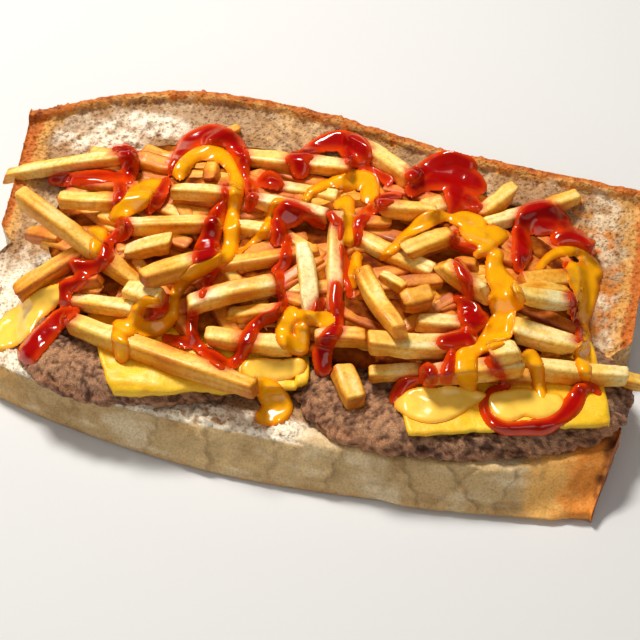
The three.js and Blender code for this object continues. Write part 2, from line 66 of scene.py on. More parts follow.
# ---- Loaf ----
LOAF_HALF = 145.0
FOLD_Z = 16.0
FOLD_UNDER_Z = 5.0
CUT_RISE = 5.0
RIM_WIDTH = 5.0
RIM_DROP = 4.0
BULGE = 1.6
LIP = 2.5
NOTCH_DEPTH = 8.0
NOTCH_HALF = 9.0
FRONT_FOOT = {"mid": -90.0, "left_in": 24.0, "right_in": 15.0}
FRONT_CUT = {"mid": -79.0, "end_in": 27.0}
RIM_Y = [(-145, 67), (-110, 84), (-73, 92), (-19, 94), (48, 86), (104, 82), (145, 80)]
RIM_Z = [(-145, 38), (-110, 42), (-73, 45), (-19, 44), (48, 41), (104, 41), (145, 41)]
LOAF_STEP = 0.9
SHOWN_STEPS = [2, 3, 9, 9, 8, 6, 22, 24, 24, 18, 12, 14, 16, 16, 16, 14, 8, 5, 3, 3]
UNDER_STEP = 3
CUT_AT = sum(SHOWN_STEPS[:5])  # the column along the front wall's top edge
RIM_STEPS = sum(SHOWN_STEPS[-3:])
PORE = 3.1
CREASES = [
    # place along the front crust, slant, step between its two sides
    (-100, -0.3, 0.5), (-80, 0.2, 0.7), (-43, 0.35, 1.3), (-17, -0.2, 1.5), (10, 0.3, 0.5), (35, 0.3, 1.2),
    (58, 0.5, 0.6), (70, -0.5, 1.5), (84, 0.9, -1.7), (92, -0.8, 1.6), (106, 0.4, 1.0), (122, -0.2, 0.5),
]
END_ROUND = [(1.3, 0.9), (0.5, 0.6)]  # rings that round an end over: how far in, and how far ahead
CUT_SHARES = [0.97, 0.85, 0.7, 0.55, 0.4, 0.25, 0.1]  # rings of a torn end, from its middle outwards

# Patches of the crumb: middle in x and y, half length and half depth, and strength.
TORN_SPOTS = [(-112, 62, 26, 12, 1), (-92, 74, 22, 7, 1), (-124, -34, 30, 34, 1), (143, 12, 5, 16, 1)]
DAMP_SPOTS = [(-128, 66, 12, 5, 1), (-60, 82, 30, 6, 1), (134, 18, 12, 16, 1)]
STAIN_SPOTS = [
    (-96, 44, 30, 8, 1), (126, 54, 9, 9, 1), (138, 36, 9, 14, 0.8),
    (-60, 50, 28, 10, 0.7), (122, 22, 18, 24, 0.5),
]

# ---- Patties and cheese ----
PATTY_THICK = 10.5
PATTY_EDGE = 6.0
PATTY_POWER = 2.4  # between an ellipse, 2, and a rectangle
PATTIES = [
    {"name": "patty_left", "x": -55, "y": -41, "length": 114, "width": 78, "turn": 12, "seed": 11},
    {"name": "patty_right", "x": 81, "y": -37, "length": 140, "width": 72, "turn": 14, "seed": 23},
]
PATTY_SECTORS = 440
PATTY_RINGS = 62
# The side and underside, down and inwards: share of the outline, height, and share of the relief.
PATTY_SIDE = [
    (1.012, 0.82, 1.0), (1.016, 0.6, 1.0), (1.012, 0.42, 1.0), (1.0, 0.26, 1.0),
    (0.985, 0.12, 0.5), (0.96, 0.0, 0.2), (0.8, 0.0, 0.0), (0.4, 0.0, 0.0),
]
SLICE_THICK = 2.6
SLICE_SHOWN = 2.1
SLICE_CELLS = 84
SLICES = [
    {"name": "cheese_left", "seed": 40, "corners": [(-59, -83), (20, -57), (-4, 22), (-98, -18)]},
    {"name": "cheese_right", "seed": 41, "corners": [(64, -75), (145, -47), (120, 28), (38, 5)]},
]

# ---- Heap ----
HEAP = {"rise": 24, "edge_z": 36, "middle_y": 8, "half_depth": 72, "half_length": 160}
CORE = {"x": 3, "y": 12, "half_length": 124, "half_depth": 60, "below": 15, "power": 2.8}
CORE_LOWER = 3.0  # the shown core lies this far below the plain one's top
CORE_SECTORS = 120
# The core's rings, from the middle of its underside outwards and back over its top: share of its
# outline, and whether the ring is on top.
CORE_RINGS = [
    (0.3, False), (0.7, False), (0.93, False),
    (0.96, True), (0.85, True), (0.6, True), (0.4, True), (0.2, True),
]
CORE_STEP = 6  # how far around a place the core looks for what carries it
SINK = 1.4
GAP = 0.3
STEEPEST = 0.45  # the steepest slope at which a fry may lie
FILLER_DROP = 3.5
FRY_TURN = math.radians(24)
FRY_LOWER = 0.5  # sunk this much more than the plain bars, because the uneven faces stand out
FRY_STREAK = 12.0  # the length of a pale or brown streak along a fry
FRY_SHORT = 27.0  # a shorter fry has its end rings closer together
FRY_END = [(0.0, 0.74), (0.25, 0.88), (0.8, 0.97), (2.0, 1.0)]  # distance from a cut end, share of size
FRY_MIDDLE = np.linspace(0.08, 0.92, 17).tolist()
FRY_FACE = [(-0.68, 1.0), (-0.35, 0.985), (0.0, 0.975), (0.35, 0.985), (0.68, 1.0), (0.88, 0.88)]
FRY_FACE_SHADE = (0.0, 0.9, 1.6, 0.9)  # how much darker each face is than the top: painted shade on the sides and the underside
FRY_CORNERS = 4 * len(FRY_FACE)
FRY_STATIONS = 2 * len(FRY_END) + len(FRY_MIDDLE)
MAP_X = 168  # half sizes of the heap's height map, one cell for each millimetre
MAP_Y = 104

# Fries that show, lowest first: the places of both ends, the thickness, and the tone, from 0
# for a pale cut face to 1 for a browned one.
FRIES = [
    (-90, 42, -64, 41, 8, 0.8),
    (-43, 57, 10, 56, 7.5, 0.4),
    (4, 81, 39, 58, 8, 0.2),
    (-50, 78, -60, 61, 5, 0.5),
    (-50, 35, -54, 50, 8, 0.9),
    (72, 51, 83, 68, 8.5, 0.3),
    (76, 41, 113, 73, 6.5, 0.2),
    (96, 9, 115, 22, 8, 0.5),
    (98, -1, 117, 13, 8, 0.6),
    (45, 40, 56, 48, 8, 0.2),
    (29, 30, 52, 36, 7.5, 0.5),
    (-111, 4, -69, 12, 7, 0.45),
    (-126, -4, -106, -10, 7, 0.8),
    (-93, -23, -115, -41, 8, 0.75),
    (-92, -40, -56, -46, 6.5, 0.35),
    (-86, -54, 0, -70, 9, 0.45),
    (-66, -38, -47, -44, 8, 0.4),
    (-27, 21, 9, 19, 7, 0.1),
    (-27, 39, 9, 40, 6.5, 0.1),
    (-63, 18, -33, 22, 6.5, 0.05),
    (-32, 8, -8, 8, 7, 0.4),
    (-27, -48, 8, -44, 8, 0.35),
    (-24, -35, 0, -32, 6.5, 0.4),
    (-38, -40, -3, -21, 8, 0.35),
    (-121, -11, -61, -30, 8, 0.4),
    (-74, -15, -53, -13, 8, 0.3),
    (-77, -7, -36, 3, 7, 0.35),
    (-154, 36, -86, 36, 6.5, 0.3),
    (-56, -42, -32, -16, 9, 0.4),
    (31, -49, 41, -64, 9, 0.45),
    (43, -50, 75, -41, 6.5, 0.2),
    (66, -51, 104, -35, 8.5, 0.3),
    (18, -42, 40, -37, 7.5, 0.45),
    (41, -44, 82, -30, 8.5, 0.3),
    (57, -23, 86, -17, 7.5, 0.0),
    (29, -6, 54, -41, 7.5, 0.5),
    (38, -7, 50, -13, 5, 0.3),
    (22, 15, 58, 3, 8, 0.3),
    (50, -20, 60, -13, 9, 0.65),
    (68, 10, 78, 12, 7, 0.7),
    (62, 3, 84, -8, 8, 0.35),
    (46, 5, 64, 23, 7.5, 0.5),
    (12, 22, 22, -25, 7, 0.15),
    (2, -1, 14, -33, 8, 0.0),
    (99, -17, 118, -17, 6.5, 0.35),
    (95, -10, 119, 1, 7.5, 0.25),
    (98, -18, 125, -17, 8.5, 0.3),
    (144, -20, 157, -15, 6, 0.35),
    (91, -39, 102, -33, 8, 0.15),
    (108, -31, 147, -23, 8, 0.25),
]
UNDER = {"rows": 4, "columns": 4, "length": 38, "size": 7, "turn": 26, "seed": 7}
FILLERS = {"rows": 9, "columns": 9, "length": 40, "size": 7.2, "turn": 50, "seed": 31}
UNDER_X = (-98, 104)
UNDER_Y = (-34, 52)

# ---- Sauce strands: pixels of the photo that each runs through, and its half width there ----
SAUCE_U = (-24, 664)
SAUCE_V = (96, 470)
SAUCE_SINK = 0.25
SAUCE_DEEP = 1.3
SAUCE_JUMP = 3.5  # sauce breaks where what carries it drops away faster than this, mm a pixel
CLOSE_BRIDGE = (3, 6)  # pixels that sauce bridges, and rounds of softening there
BROAD_BRIDGE = (9, 20)
FAR_AWAY = 900.0
KETCHUP_STRANDS = [
    [(116, 149, 4), (126, 153, 10), (130, 164, 10), (129, 176, 8)],
    [(54, 180, 5), (75, 179, 7), (100, 176, 6), (122, 176, 5)],
    [(171, 171, 4), (179, 156, 6), (190, 142, 9), (204, 136, 10), (222, 136, 11), (236, 146, 9),
     (243, 162, 7)],
    [(243, 162, 7), (245, 176, 4)],
    [(120, 187, 6), (121, 196, 7), (117, 205, 5)],
    [(122, 220, 6), (125, 231, 8), (114, 238, 5), (107, 246, 6), (107, 256, 7), (98, 264, 6)],
    [(74, 264, 5), (82, 268, 9), (94, 267, 8), (104, 262, 5)],
    [(82, 276, 7), (76, 284, 6), (65, 288, 7), (64, 298, 7), (66, 305, 4)],
    [(166, 182, 5), (161, 192, 7), (156, 202, 7), (150, 209, 5)],
    [(225, 188, 4), (226, 197, 5)],
    [(222, 206, 5), (216, 218, 8), (212, 230, 10), (209, 242, 12), (206, 254, 12), (200, 261, 7)],
    [(214, 270, 5), (208, 280, 5), (203, 290, 4), (202, 296, 3)],
    [(168, 298, 4), (165, 309, 4)],
    [(156, 311, 4), (152, 318, 4)],
    [(166, 338, 4), (178, 341, 5), (190, 344, 5)],
    [(193, 316, 5), (192, 328, 6), (194, 340, 7), (203, 350, 6), (214, 357, 7), (222, 363, 6)],
    [(76, 311, 4), (62, 317, 8), (50, 329, 10), (38, 342, 11), (29, 353, 12)],
    [(262, 182, 5), (270, 180, 8), (278, 184, 6)],
    [(249, 184, 5), (252, 198, 6), (249, 208, 4)],
    [(291, 160, 6), (298, 161, 10), (300, 170, 9)],
    [(304, 156, 7), (316, 147, 8), (330, 142, 9), (345, 142, 11), (358, 148, 11), (366, 157, 6)],
    [(348, 152, 9), (352, 162, 6)],
    [(360, 165, 4), (374, 172, 4), (388, 181, 5)],
    [(287, 208, 8), (300, 210, 6), (312, 219, 5), (323, 227, 3)],
    [(282, 214, 9), (290, 218, 10), (298, 214, 8)],
    [(277, 224, 7), (279, 234, 7), (276, 241, 5)],
    [(331, 214, 4), (334, 220, 5), (341, 223, 3), (341, 238, 3)],
    [(288, 238, 3), (286, 252, 4.5), (284, 264, 6), (276, 270, 5)],
    [(280, 276, 4), (280, 290, 4), (283, 302, 5), (276, 314, 6), (262, 320, 6), (252, 330, 8),
     (246, 342, 7)],
    [(246, 342, 7), (242, 354, 6), (234, 363, 6)],
    [(342, 246, 2.5), (345, 262, 4), (348, 280, 4), (350, 296, 3)],
    [(336, 286, 5), (336, 300, 7), (337, 314, 7), (334, 330, 9), (326, 342, 10), (322, 356, 11),
     (323, 368, 9)],
    [(320, 302, 5), (316, 312, 6), (308, 322, 5)],
    [(370, 210, 6), (382, 202, 8), (392, 197, 6), (399, 196, 3)],
    [(364, 216, 6), (358, 226, 6), (356, 240, 5)],
    [(411, 176, 7), (424, 172, 9), (438, 166, 12), (452, 162, 12), (466, 166, 11)],
    [(412, 190, 7), (426, 184, 8), (440, 178, 12), (456, 178, 15), (470, 182, 14), (478, 187, 9)],
    [(456, 192, 13), (456, 204, 9), (452, 212, 5)],
    [(466, 200, 9), (476, 206, 6)],
    [(457, 232, 3), (456, 244, 4), (464, 247, 4), (472, 247, 5), (478, 250, 3)],
    [(457, 262, 4), (463, 272, 6), (467, 284, 6), (469, 295, 4)],
    [(457, 298, 4), (464, 304, 6), (470, 314, 12), (474, 322, 10), (483, 318, 6)],
    [(444, 342, 7), (456, 340, 9), (468, 338, 9), (474, 346, 6)],
    [(452, 356, 6), (449, 366, 7), (446, 378, 6)],
    [(428, 372, 9), (430, 384, 7)],
    [(414, 382, 5), (404, 385, 8), (396, 394, 6), (393, 401, 3)],
    [(523, 224, 9), (532, 214, 12), (546, 213, 12), (560, 222, 10), (566, 231, 4)],
    [(538, 226, 9), (552, 226, 8)],
    [(520, 232, 8), (522, 246, 10), (521, 258, 9), (519, 267, 6)],
    [(558, 239, 7), (574, 237, 9), (584, 243, 8), (591, 252, 5)],
    [(566, 265, 4), (572, 267, 3)],
    [(570, 294, 3), (575, 304, 4), (576, 314, 5), (577, 322, 4)],
    [(580, 330, 4), (580, 338, 5)],
    [(487, 358, 4), (495, 368, 5), (502, 377, 4)],
    [(586, 384, 3), (594, 389, 4), (600, 394, 2)],
]
CRESCENT = [
    (508, 386, 3), (492, 392, 5), (484, 404, 5), (489, 418, 6), (504, 428, 7), (524, 428, 8), (546, 426, 9),
    (562, 416, 8), (573, 404, 9), (580, 391, 8),
]
CHEESE_STRANDS = [
    [(180, 172, 8), (186, 162, 8), (198, 154, 8), (214, 153, 8), (226, 160, 7), (234, 172, 6),
     (237, 182, 8)],
    [(160, 182, 4), (148, 189, 9), (138, 198, 12), (126, 207, 9), (114, 217, 5)],
    [(92, 232, 5), (102, 234, 6), (97, 244, 7), (94, 254, 5)],
    [(237, 182, 8), (236, 196, 7), (233, 212, 6), (232, 228, 8), (231, 244, 8), (226, 256, 8),
     (212, 264, 7)],
    [(212, 264, 7), (196, 272, 7), (184, 282, 6), (176, 294, 6), (174, 306, 5), (173, 316, 6)],
    [(136, 310, 6), (146, 302, 6), (156, 302, 4)],
    [(134, 318, 6), (144, 328, 8), (158, 328, 8), (168, 322, 7), (173, 312, 5)],
    [(138, 322, 7), (128, 328, 8), (118, 325, 6)],
    [(118, 336, 7), (121, 346, 8), (122, 356, 7)],
    [(284, 199, 3.5), (275, 203, 4), (271, 214, 4), (267, 226, 5), (262, 234, 5), (248, 246, 2),
     (240, 252, 2)],
    [(332, 183, 4), (322, 186, 5), (312, 192, 5), (305, 200, 4)],
    [(334, 182, 5), (346, 182, 8), (356, 180, 10), (368, 182, 10), (370, 192, 9), (366, 198, 5)],
    [(338, 205, 5), (347, 202, 7), (348, 214, 7), (349, 228, 6), (349, 240, 6)],
    [(357, 257, 5), (355, 268, 6), (351, 276, 4), (354, 286, 3)],
    [(448, 217, 4), (436, 217, 7), (424, 222, 8), (414, 229, 6), (402, 239, 5), (392, 250, 5),
     (382, 258, 3)],
    [(452, 218, 5), (464, 220, 9), (478, 224, 8), (470, 230, 10), (482, 238, 10), (494, 236, 9),
     (503, 236, 5)],
    [(488, 246, 7), (478, 254, 4)],
    [(497, 255, 6), (494, 266, 10), (498, 278, 13), (507, 290, 14), (514, 300, 12)],
    [(500, 300, 12), (503, 312, 13), (502, 324, 13), (496, 334, 12), (486, 343, 9), (474, 350, 8)],
    [(466, 358, 11), (466, 370, 12), (468, 382, 10), (470, 391, 6)],
    [(292, 313, 7), (286, 324, 8), (284, 336, 8), (290, 344, 9), (300, 348, 9)],
    [(300, 316, 6), (312, 318, 7), (326, 320, 8), (334, 322, 5)],
    [(302, 330, 7), (302, 342, 7)],
    [(530, 358, 9), (536, 366, 8), (538, 378, 6), (540, 390, 6), (543, 399, 6)],
    [(539, 268, 4), (548, 258, 5), (562, 251, 6), (578, 252, 6), (590, 264, 8), (594, 274, 9)],
    [(572, 268, 7), (580, 278, 12), (586, 286, 12), (586, 298, 11), (585, 310, 8), (584, 322, 4)],
    [(584, 322, 3), (586, 334, 4), (585, 346, 6), (581, 356, 8), (584, 366, 8), (586, 376, 6)],
    [(264, 384, 8), (272, 396, 12), (278, 409, 13), (264, 417, 8)],
]
PALE_POOLS = [
    [(402, 404, 8), (416, 404, 15), (434, 406, 17), (452, 402, 14), (470, 398, 9), (482, 396, 5)],
    [(496, 402, 10), (508, 406, 18), (524, 402, 15), (540, 406, 14), (554, 404, 10)],
    [(66, 290, 7), (52, 296, 10), (38, 306, 12), (24, 318, 14), (10, 332, 14), (0, 342, 10)],
    [(250, 368, 8), (266, 370, 11), (284, 370, 10), (298, 366, 8)],
]

# ---- Sauce looks: rise in millimetres, edge and full width in pixels ----
KETCHUP_LOOK = {"seed": 100, "rise": 2.3, "edge": 7.0, "full": 7.5, "colour": "ketchup"}
PALE_LOOK = {"seed": 300, "rise": 1.8, "edge": 8.0, "full": 4.0, "colour": "pale_sauce"}
CHEESE_LOOK = {"seed": 200, "rise": 2.3, "edge": 7.0, "full": 4.5, "colour": "cheese_sauce"}

# ---- Colours, as screen values of 0 to 255 ----
SCREEN_COLOURS = {
    "crumb": (178, 138, 96), "crumb_light": (220, 190, 150), "crumb_shade": (152, 108, 68),
    # The pore colours are painted shade in the hollows of the crumb's pores and of the torn ends' pores.
    "pore_shade": (128, 82, 42), "torn": (254, 242, 222), "damp": (184, 150, 116), "stain": (222, 124, 20),
    "mottle_orange": (206, 122, 26), "mottle_pale": (244, 224, 194),
    "toast_gold": (226, 168, 86), "toast_brown": (204, 112, 34), "toast_dark": (140, 66, 16),
    "crust": (214, 182, 130), "crust_shade": (172, 132, 78), "flour": (248, 230, 194),
    "crack": (124, 86, 46), "foot": (204, 142, 70), "tan": (226, 172, 96),
    "gold": (250, 190, 104), "baked": (232, 142, 50), "burnt": (96, 42, 8),
    "end": (212, 160, 96), "end_light": (246, 220, 176),
    # The torn ends' pore colour is painted shade in the hollows of their pores.
    "end_pore_shade": (146, 88, 36), "end_toast": (184, 92, 20),
    # The beef and grey colours run from dark to light with the mince's relief: painted shade in the pits,
    # painted light on the lumps.
    "beef_dark": (78, 36, 18), "beef_light": (208, 154, 112),
    "grey_dark": (72, 42, 28), "grey_light": (196, 152, 122),
    "slice_deep": (255, 186, 14), "slice_light": (255, 208, 44),
    "fry_pale": (255, 236, 178), "fry_gold": (253, 210, 96), "fry_orange": (240, 166, 34),
    "fry_brown": (208, 112, 6), "fry_dark": (138, 52, 0),
    "orange_stain": (220, 100, 8), "red_stain": (190, 36, 0),
    # The deep colours are painted shade of the heap's gaps, on its dark core.
    "deep_dark": (96, 34, 2), "deep": (150, 72, 8), "deep_light": (190, 110, 24),
    "ketchup_thin": (218, 66, 4), "ketchup_thick": (160, 4, 0),
    "pale_sauce_thin": (255, 166, 20), "pale_sauce_thick": (255, 208, 84),
    "cheese_sauce_thin": (232, 126, 2), "cheese_sauce_thick": (244, 170, 6),
}
# The darker tones also carry painted shade: on the fries' sides and undersides, and on the fries low in the
# gaps.
FRY_TONES = [
    (0.0, "fry_pale"), (0.3, "fry_gold"), (0.55, "fry_orange"), (0.85, "fry_brown"), (1.3, "fry_dark"),
]

# ---- Stage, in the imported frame's metres ----
FLOOR_HALF = 1.6
FLOOR_DROP = 0.0002
FLOOR_COLOUR = (0.68, 0.7, 0.74, 1.0)
WORLD_COLOUR = (1.0, 0.99, 0.97, 1.0)
WORLD_STRENGTH = 0.05
LIGHTS_AIM = (0, 0, 0.02)
WARM = (1.0, 0.94, 0.84)
LIGHTS = [
    # name, place, size, watts, colour, and whether reflections show it: broad ones would veil the sauce
    ("key", (-0.46, 0.44, 1.13), (0.3, 0.25), 19.0, WARM, True),
    ("top", (0.1, 0.1, 1.3), (1.0, 1.0), 2.4, WARM, False),
    ("fill", (0.5, -0.9, 0.8), (0.9, 0.7), 3.2, (1.0, 0.93, 0.82), True),
    ("side", (-0.9, -0.35, 0.5), (0.5, 0.5), 1.6, (1.0, 0.93, 0.83), False),
]


# ---- Plain helpers ----
def lerp(a, b, t):
    return a + (b - a) * t


def smooth(low, high, value):
    """0 below low, 1 above high, and an even rise between."""
    t = np.clip((value - low) / (high - low), 0.0, 1.0)
    return t * t * (3.0 - 2.0 * t)


def linear(screen):
    """A scene-linear colour from screen values of 0 to 255."""
    return np.array([((c / 255.0 + 0.055) / 1.055) ** 2.4 for c in screen])


PAINT = {name: linear(screen) for name, screen in SCREEN_COLOURS.items()}


def coated(tint, coats):
    """The tint under coats, each a colour's name and how much of it each point takes."""
    for name, share in coats:
        share = np.clip(share, 0, 1)[:, None]
        tint = tint * (1 - share) + PAINT[name] * share
    return tint


def one_colour(name, count):
    return np.broadcast_to(PAINT[name], (count, 3))


def seeded(seed):
    """The draws of the loaf's construction: the same numbers for the same seed."""
    state = seed * 2654435761 % 4294967296

    def draw():
        nonlocal state
        state = (state * 1664525 + 1013904223) % 4294967296
        return state / 4294967296

    return draw


def along(keys, x):
    """A smooth line through (x, value) pairs, read at the array x."""
    at = np.array([key[0] for key in keys], float)
    value = np.array([key[1] for key in keys], float)
    last = len(keys) - 1
    i = np.clip(np.searchsorted(at, x, side="right") - 1, 0, last - 1)
    before, after = np.maximum(i - 1, 0), np.minimum(i + 2, last)
    step = at[i + 1] - at[i]
    t = np.clip((x - at[i]) / step, 0.0, 1.0)
    rise1 = step * (value[i + 1] - value[before]) / (at[i + 1] - at[before])
    rise2 = step * (value[after] - value[i]) / (at[after] - at[i])
    ease = t * t * (3 - 2 * t)
    return lerp(value[i], value[i + 1], ease) + t * (1 - t) * ((1 - t) * rise1 - t * rise2)


def uneven(a, b, seed=0.0):
    """Soft unevenness between -1 and 1."""
    wave = np.sin(a * 1.7 + seed) + np.sin(b * 2.3 - seed * 1.3)
    return (wave + np.sin(a * 3.1 - b * 2.7 + seed * 0.7) + np.sin(a * 0.9 + b * 1.9)) / 4


# ---- Noise over points ----
def scatter(ix, iy, iz, seed):
    """A fixed draw from 0 to 1 for each lattice point."""
    n = (ix * 374761393 + iy * 668265263 + iz * 1440662683 + seed * 974634777) & 0xFFFFFFFF
    n = ((n ^ (n >> 13)) * 1274126177) & 0xFFFFFFFF
    n = ((n ^ (n >> 15)) * 2246822519) & 0xFFFFFFFF
    return ((n ^ (n >> 16)) & 0xFFFFFF) / 16777215.0


def noise(points, size, seed=0):
    """Smooth noise between -1 and 1, with bumps about as wide as size."""
    scaled = points / size
    cell = np.floor(scaled).astype(np.int64)
    t = scaled - cell
    t = t * t * (3 - 2 * t)
    total = 0.0
    for dx in (0, 1):
        for dy in (0, 1):
            for dz in (0, 1):
                weight = (
                    (t[:, 0] if dx else 1 - t[:, 0])
                    * (t[:, 1] if dy else 1 - t[:, 1])
                    * (t[:, 2] if dz else 1 - t[:, 2])
                )
                total = total + weight * scatter(cell[:, 0] + dx, cell[:, 1] + dy, cell[:, 2] + dz, seed)
    return total * 2 - 1


def layered(points, size, layers, seed=0):
    """Noise with finer and weaker layers on top."""
    total = np.zeros(len(points))
    for k in range(layers):
        total += noise(points, size * 0.5**k, seed + 17 * k) * 0.55**k
    return total


def cells(points, size, seed=0):
    """Distance to the nearest of scattered seeds, in cell sizes, and that seed's own draw."""
    scaled = points / size
    base = np.floor(scaled).astype(np.int64)
    nearest = np.full(len(points), 9.0)
    draw = np.zeros(len(points))
    for dx in (-1, 0, 1):
        for dy in (-1, 0, 1):
            for dz in (-1, 0, 1):
                c = base + np.array([dx, dy, dz])
                at = np.stack([scatter(c[:, 0], c[:, 1], c[:, 2], seed + k) for k in (1, 2, 3)], axis=1)
                distance = np.linalg.norm(c + at - scaled, axis=1)
                closer = distance < nearest
                nearest = np.where(closer, distance, nearest)
                draw = np.where(closer, scatter(c[:, 0], c[:, 1], c[:, 2], seed + 4), draw)
    return nearest, draw


# ---- The photo's pixels ----
SAUCE_PIXELS = np.meshgrid(
    np.arange(SAUCE_U[0], SAUCE_U[1] + 1), np.arange(SAUCE_V[0], SAUCE_V[1] + 1), indexing="ij"
)


def camera_axes():
    a, e = math.radians(AZIMUTH), math.radians(ELEVATION)
    right = np.array([math.cos(a), math.sin(a), 0])
    up = np.array([-math.sin(a) * math.sin(e), math.cos(a) * math.sin(e), math.cos(e)])
    ahead = np.array([-math.sin(a) * math.cos(e), math.cos(a) * math.cos(e), -math.sin(e)])
    return right, up, ahead


def camera_place():
    return TARGET - camera_axes()[2] * DISTANCE


def pixels_of(points):
    """The photo's pixel, u and v, on which each point shows."""
    right, up, ahead = camera_axes()
    way = points - camera_place()
    focal = PHOTO_SIDE * LENS / SENSOR / (way @ ahead)
    return PHOTO_SIDE / 2 + (way @ right) * focal, PHOTO_SIDE / 2 - (way @ up) * focal


def widened(z, radius, pick):
    """The highest (or lowest) value within radius cells."""
    result = z.copy()
    for dx in range(-radius, radius + 1):
        for dy in range(-radius, radius + 1):
            if dx * dx + dy * dy <= radius * radius + 1:
                result = pick(result, np.roll(z, (dx, dy), axis=(0, 1)))
    return result


def softened(z, rounds):
    """A few passes of averaging with the neighbours."""
    for _ in range(rounds):
        for axis in (0, 1):
            z = (np.roll(z, 1, axis=axis) + 2 * z + np.roll(z, -1, axis=axis)) / 4
    return z


def strand_run(pixels):
    """A smooth run of pixels along a strand, each u, v and half width."""
    keys = np.array(pixels, float)
    run = []
    for k in range(len(keys) - 1):
        p0, p1, p2 = keys[max(0, k - 1)], keys[k], keys[k + 1]
        p3 = keys[min(len(keys) - 1, k + 2)]
        count = max(2, int(np.linalg.norm(p2[:2] - p1[:2]) / 1.5))
        t = (np.arange(count) / count)[:, None]
        bend = 2 * p1 + (p2 - p0) * t + (2 * p0 - 5 * p1 + 4 * p2 - p3) * t**2
        run.append(0.5 * (bend + (3 * p1 - p0 - 3 * p2 + p3) * t**3))
    run.append(keys[-1:])
    return np.concatenate(run)


def strand_field(strands, seed):
    """How far inside the poured strands each pixel lies, and how wide the strand is there."""
    all_u, all_v = SAUCE_PIXELS
    inside = np.full(all_u.shape, -12.0)
    width = np.zeros(all_u.shape)
    for k, pixels in enumerate(strands):
        run = strand_run(pixels)
        flat = np.stack([run[:, 0], run[:, 1], np.full(len(run), seed * 9.0 + k * 31)], axis=1)
        half = run[:, 2] * (1 + 0.16 * noise(flat, 15.0, seed))
        for (u, v, _), reach in zip(run, half):
            span = reach + 12
            i0, i1 = np.clip([int(u - span) - SAUCE_U[0], int(u + span) - SAUCE_U[0]], 0, all_u.shape[0])
            j0, j1 = np.clip([int(v - span) - SAUCE_V[0], int(v + span) - SAUCE_V[0]], 0, all_u.shape[1])
            window = (slice(i0, i1), slice(j0, j1))
            depth = reach - np.hypot(all_u[window] - u, all_v[window] - v)
            inside[window] = np.maximum(inside[window], depth)
            width[window] = np.maximum(width[window], np.where(depth > -3, reach, 0))
    return softened(inside, 2), softened(width, 6)


KETCHUP_FIELD = strand_field([*KETCHUP_STRANDS, CRESCENT], KETCHUP_LOOK["seed"])


# ---- Pieces ----
def grid_faces(rows, columns, closed=False, start=0):
    """Quads between the points of a grid; closed joins the last column to the first."""
    i, j = np.meshgrid(np.arange(rows - 1), np.arange(columns - (0 if closed else 1)), indexing="ij")
    k = (j + 1) % columns
    quads = [i * columns + j, i * columns + k, (i + 1) * columns + k, (i + 1) * columns + j]
    return np.stack(quads, axis=-1).reshape(-1, 4) + start


def tube_faces(rows, columns, start=0, flipped=False):
    """Faces of a tube of closed rings, shut at both ends."""
    faces = grid_faces(rows, columns, closed=True, start=start).tolist()
    first = list(range(start, start + columns))
    faces += [first[::-1], [k + (rows - 1) * columns for k in first]]
    return [face[::-1] for face in faces] if flipped else faces


def grid_normals(grid):
    """Unit normals of a grid of points, row direction crossed with column direction."""
    rows = np.gradient(grid, axis=0)
    columns = np.gradient(grid, axis=1)
    normal = np.cross(rows, columns)
    return normal / np.maximum(np.linalg.norm(normal, axis=2, keepdims=True), 1e-9)


def make_mesh(name, points, faces, tint=None):
    mesh = bpy.data.meshes.new(name)
    places = (np.asarray(points, float) + SHIFT) * MM
    mesh.from_pydata(places.tolist(), [], faces if isinstance(faces, list) else faces.tolist())
    if tint is not None:
        layer = mesh.color_attributes.new("tint", "FLOAT_COLOR", "POINT")
        rgba = np.ones((len(tint), 4))
        rgba[:, : tint.shape[1]] = tint
        layer.data.foreach_set("color", rgba.astype(np.float32).ravel())
    mesh.polygons.foreach_set("use_smooth", [len(face) < 5 for face in faces])
    mesh.update()
    return mesh


def added(name, data):
    """A new object of the scene that holds the data."""
    thing = bpy.data.objects.new(name, data)
    bpy.context.scene.collection.objects.link(thing)
    return thing


def make_piece(name, points, faces, material, replaced=(), tint=None):
    piece = added(name, make_mesh(name, points, faces, tint))
    piece.data.materials.append(material)
    finish_piece(piece, replaced)
    return piece


def finish_piece(piece, replaced=()):
    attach(piece, "root")
    if replaced:
        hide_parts(*replaced)


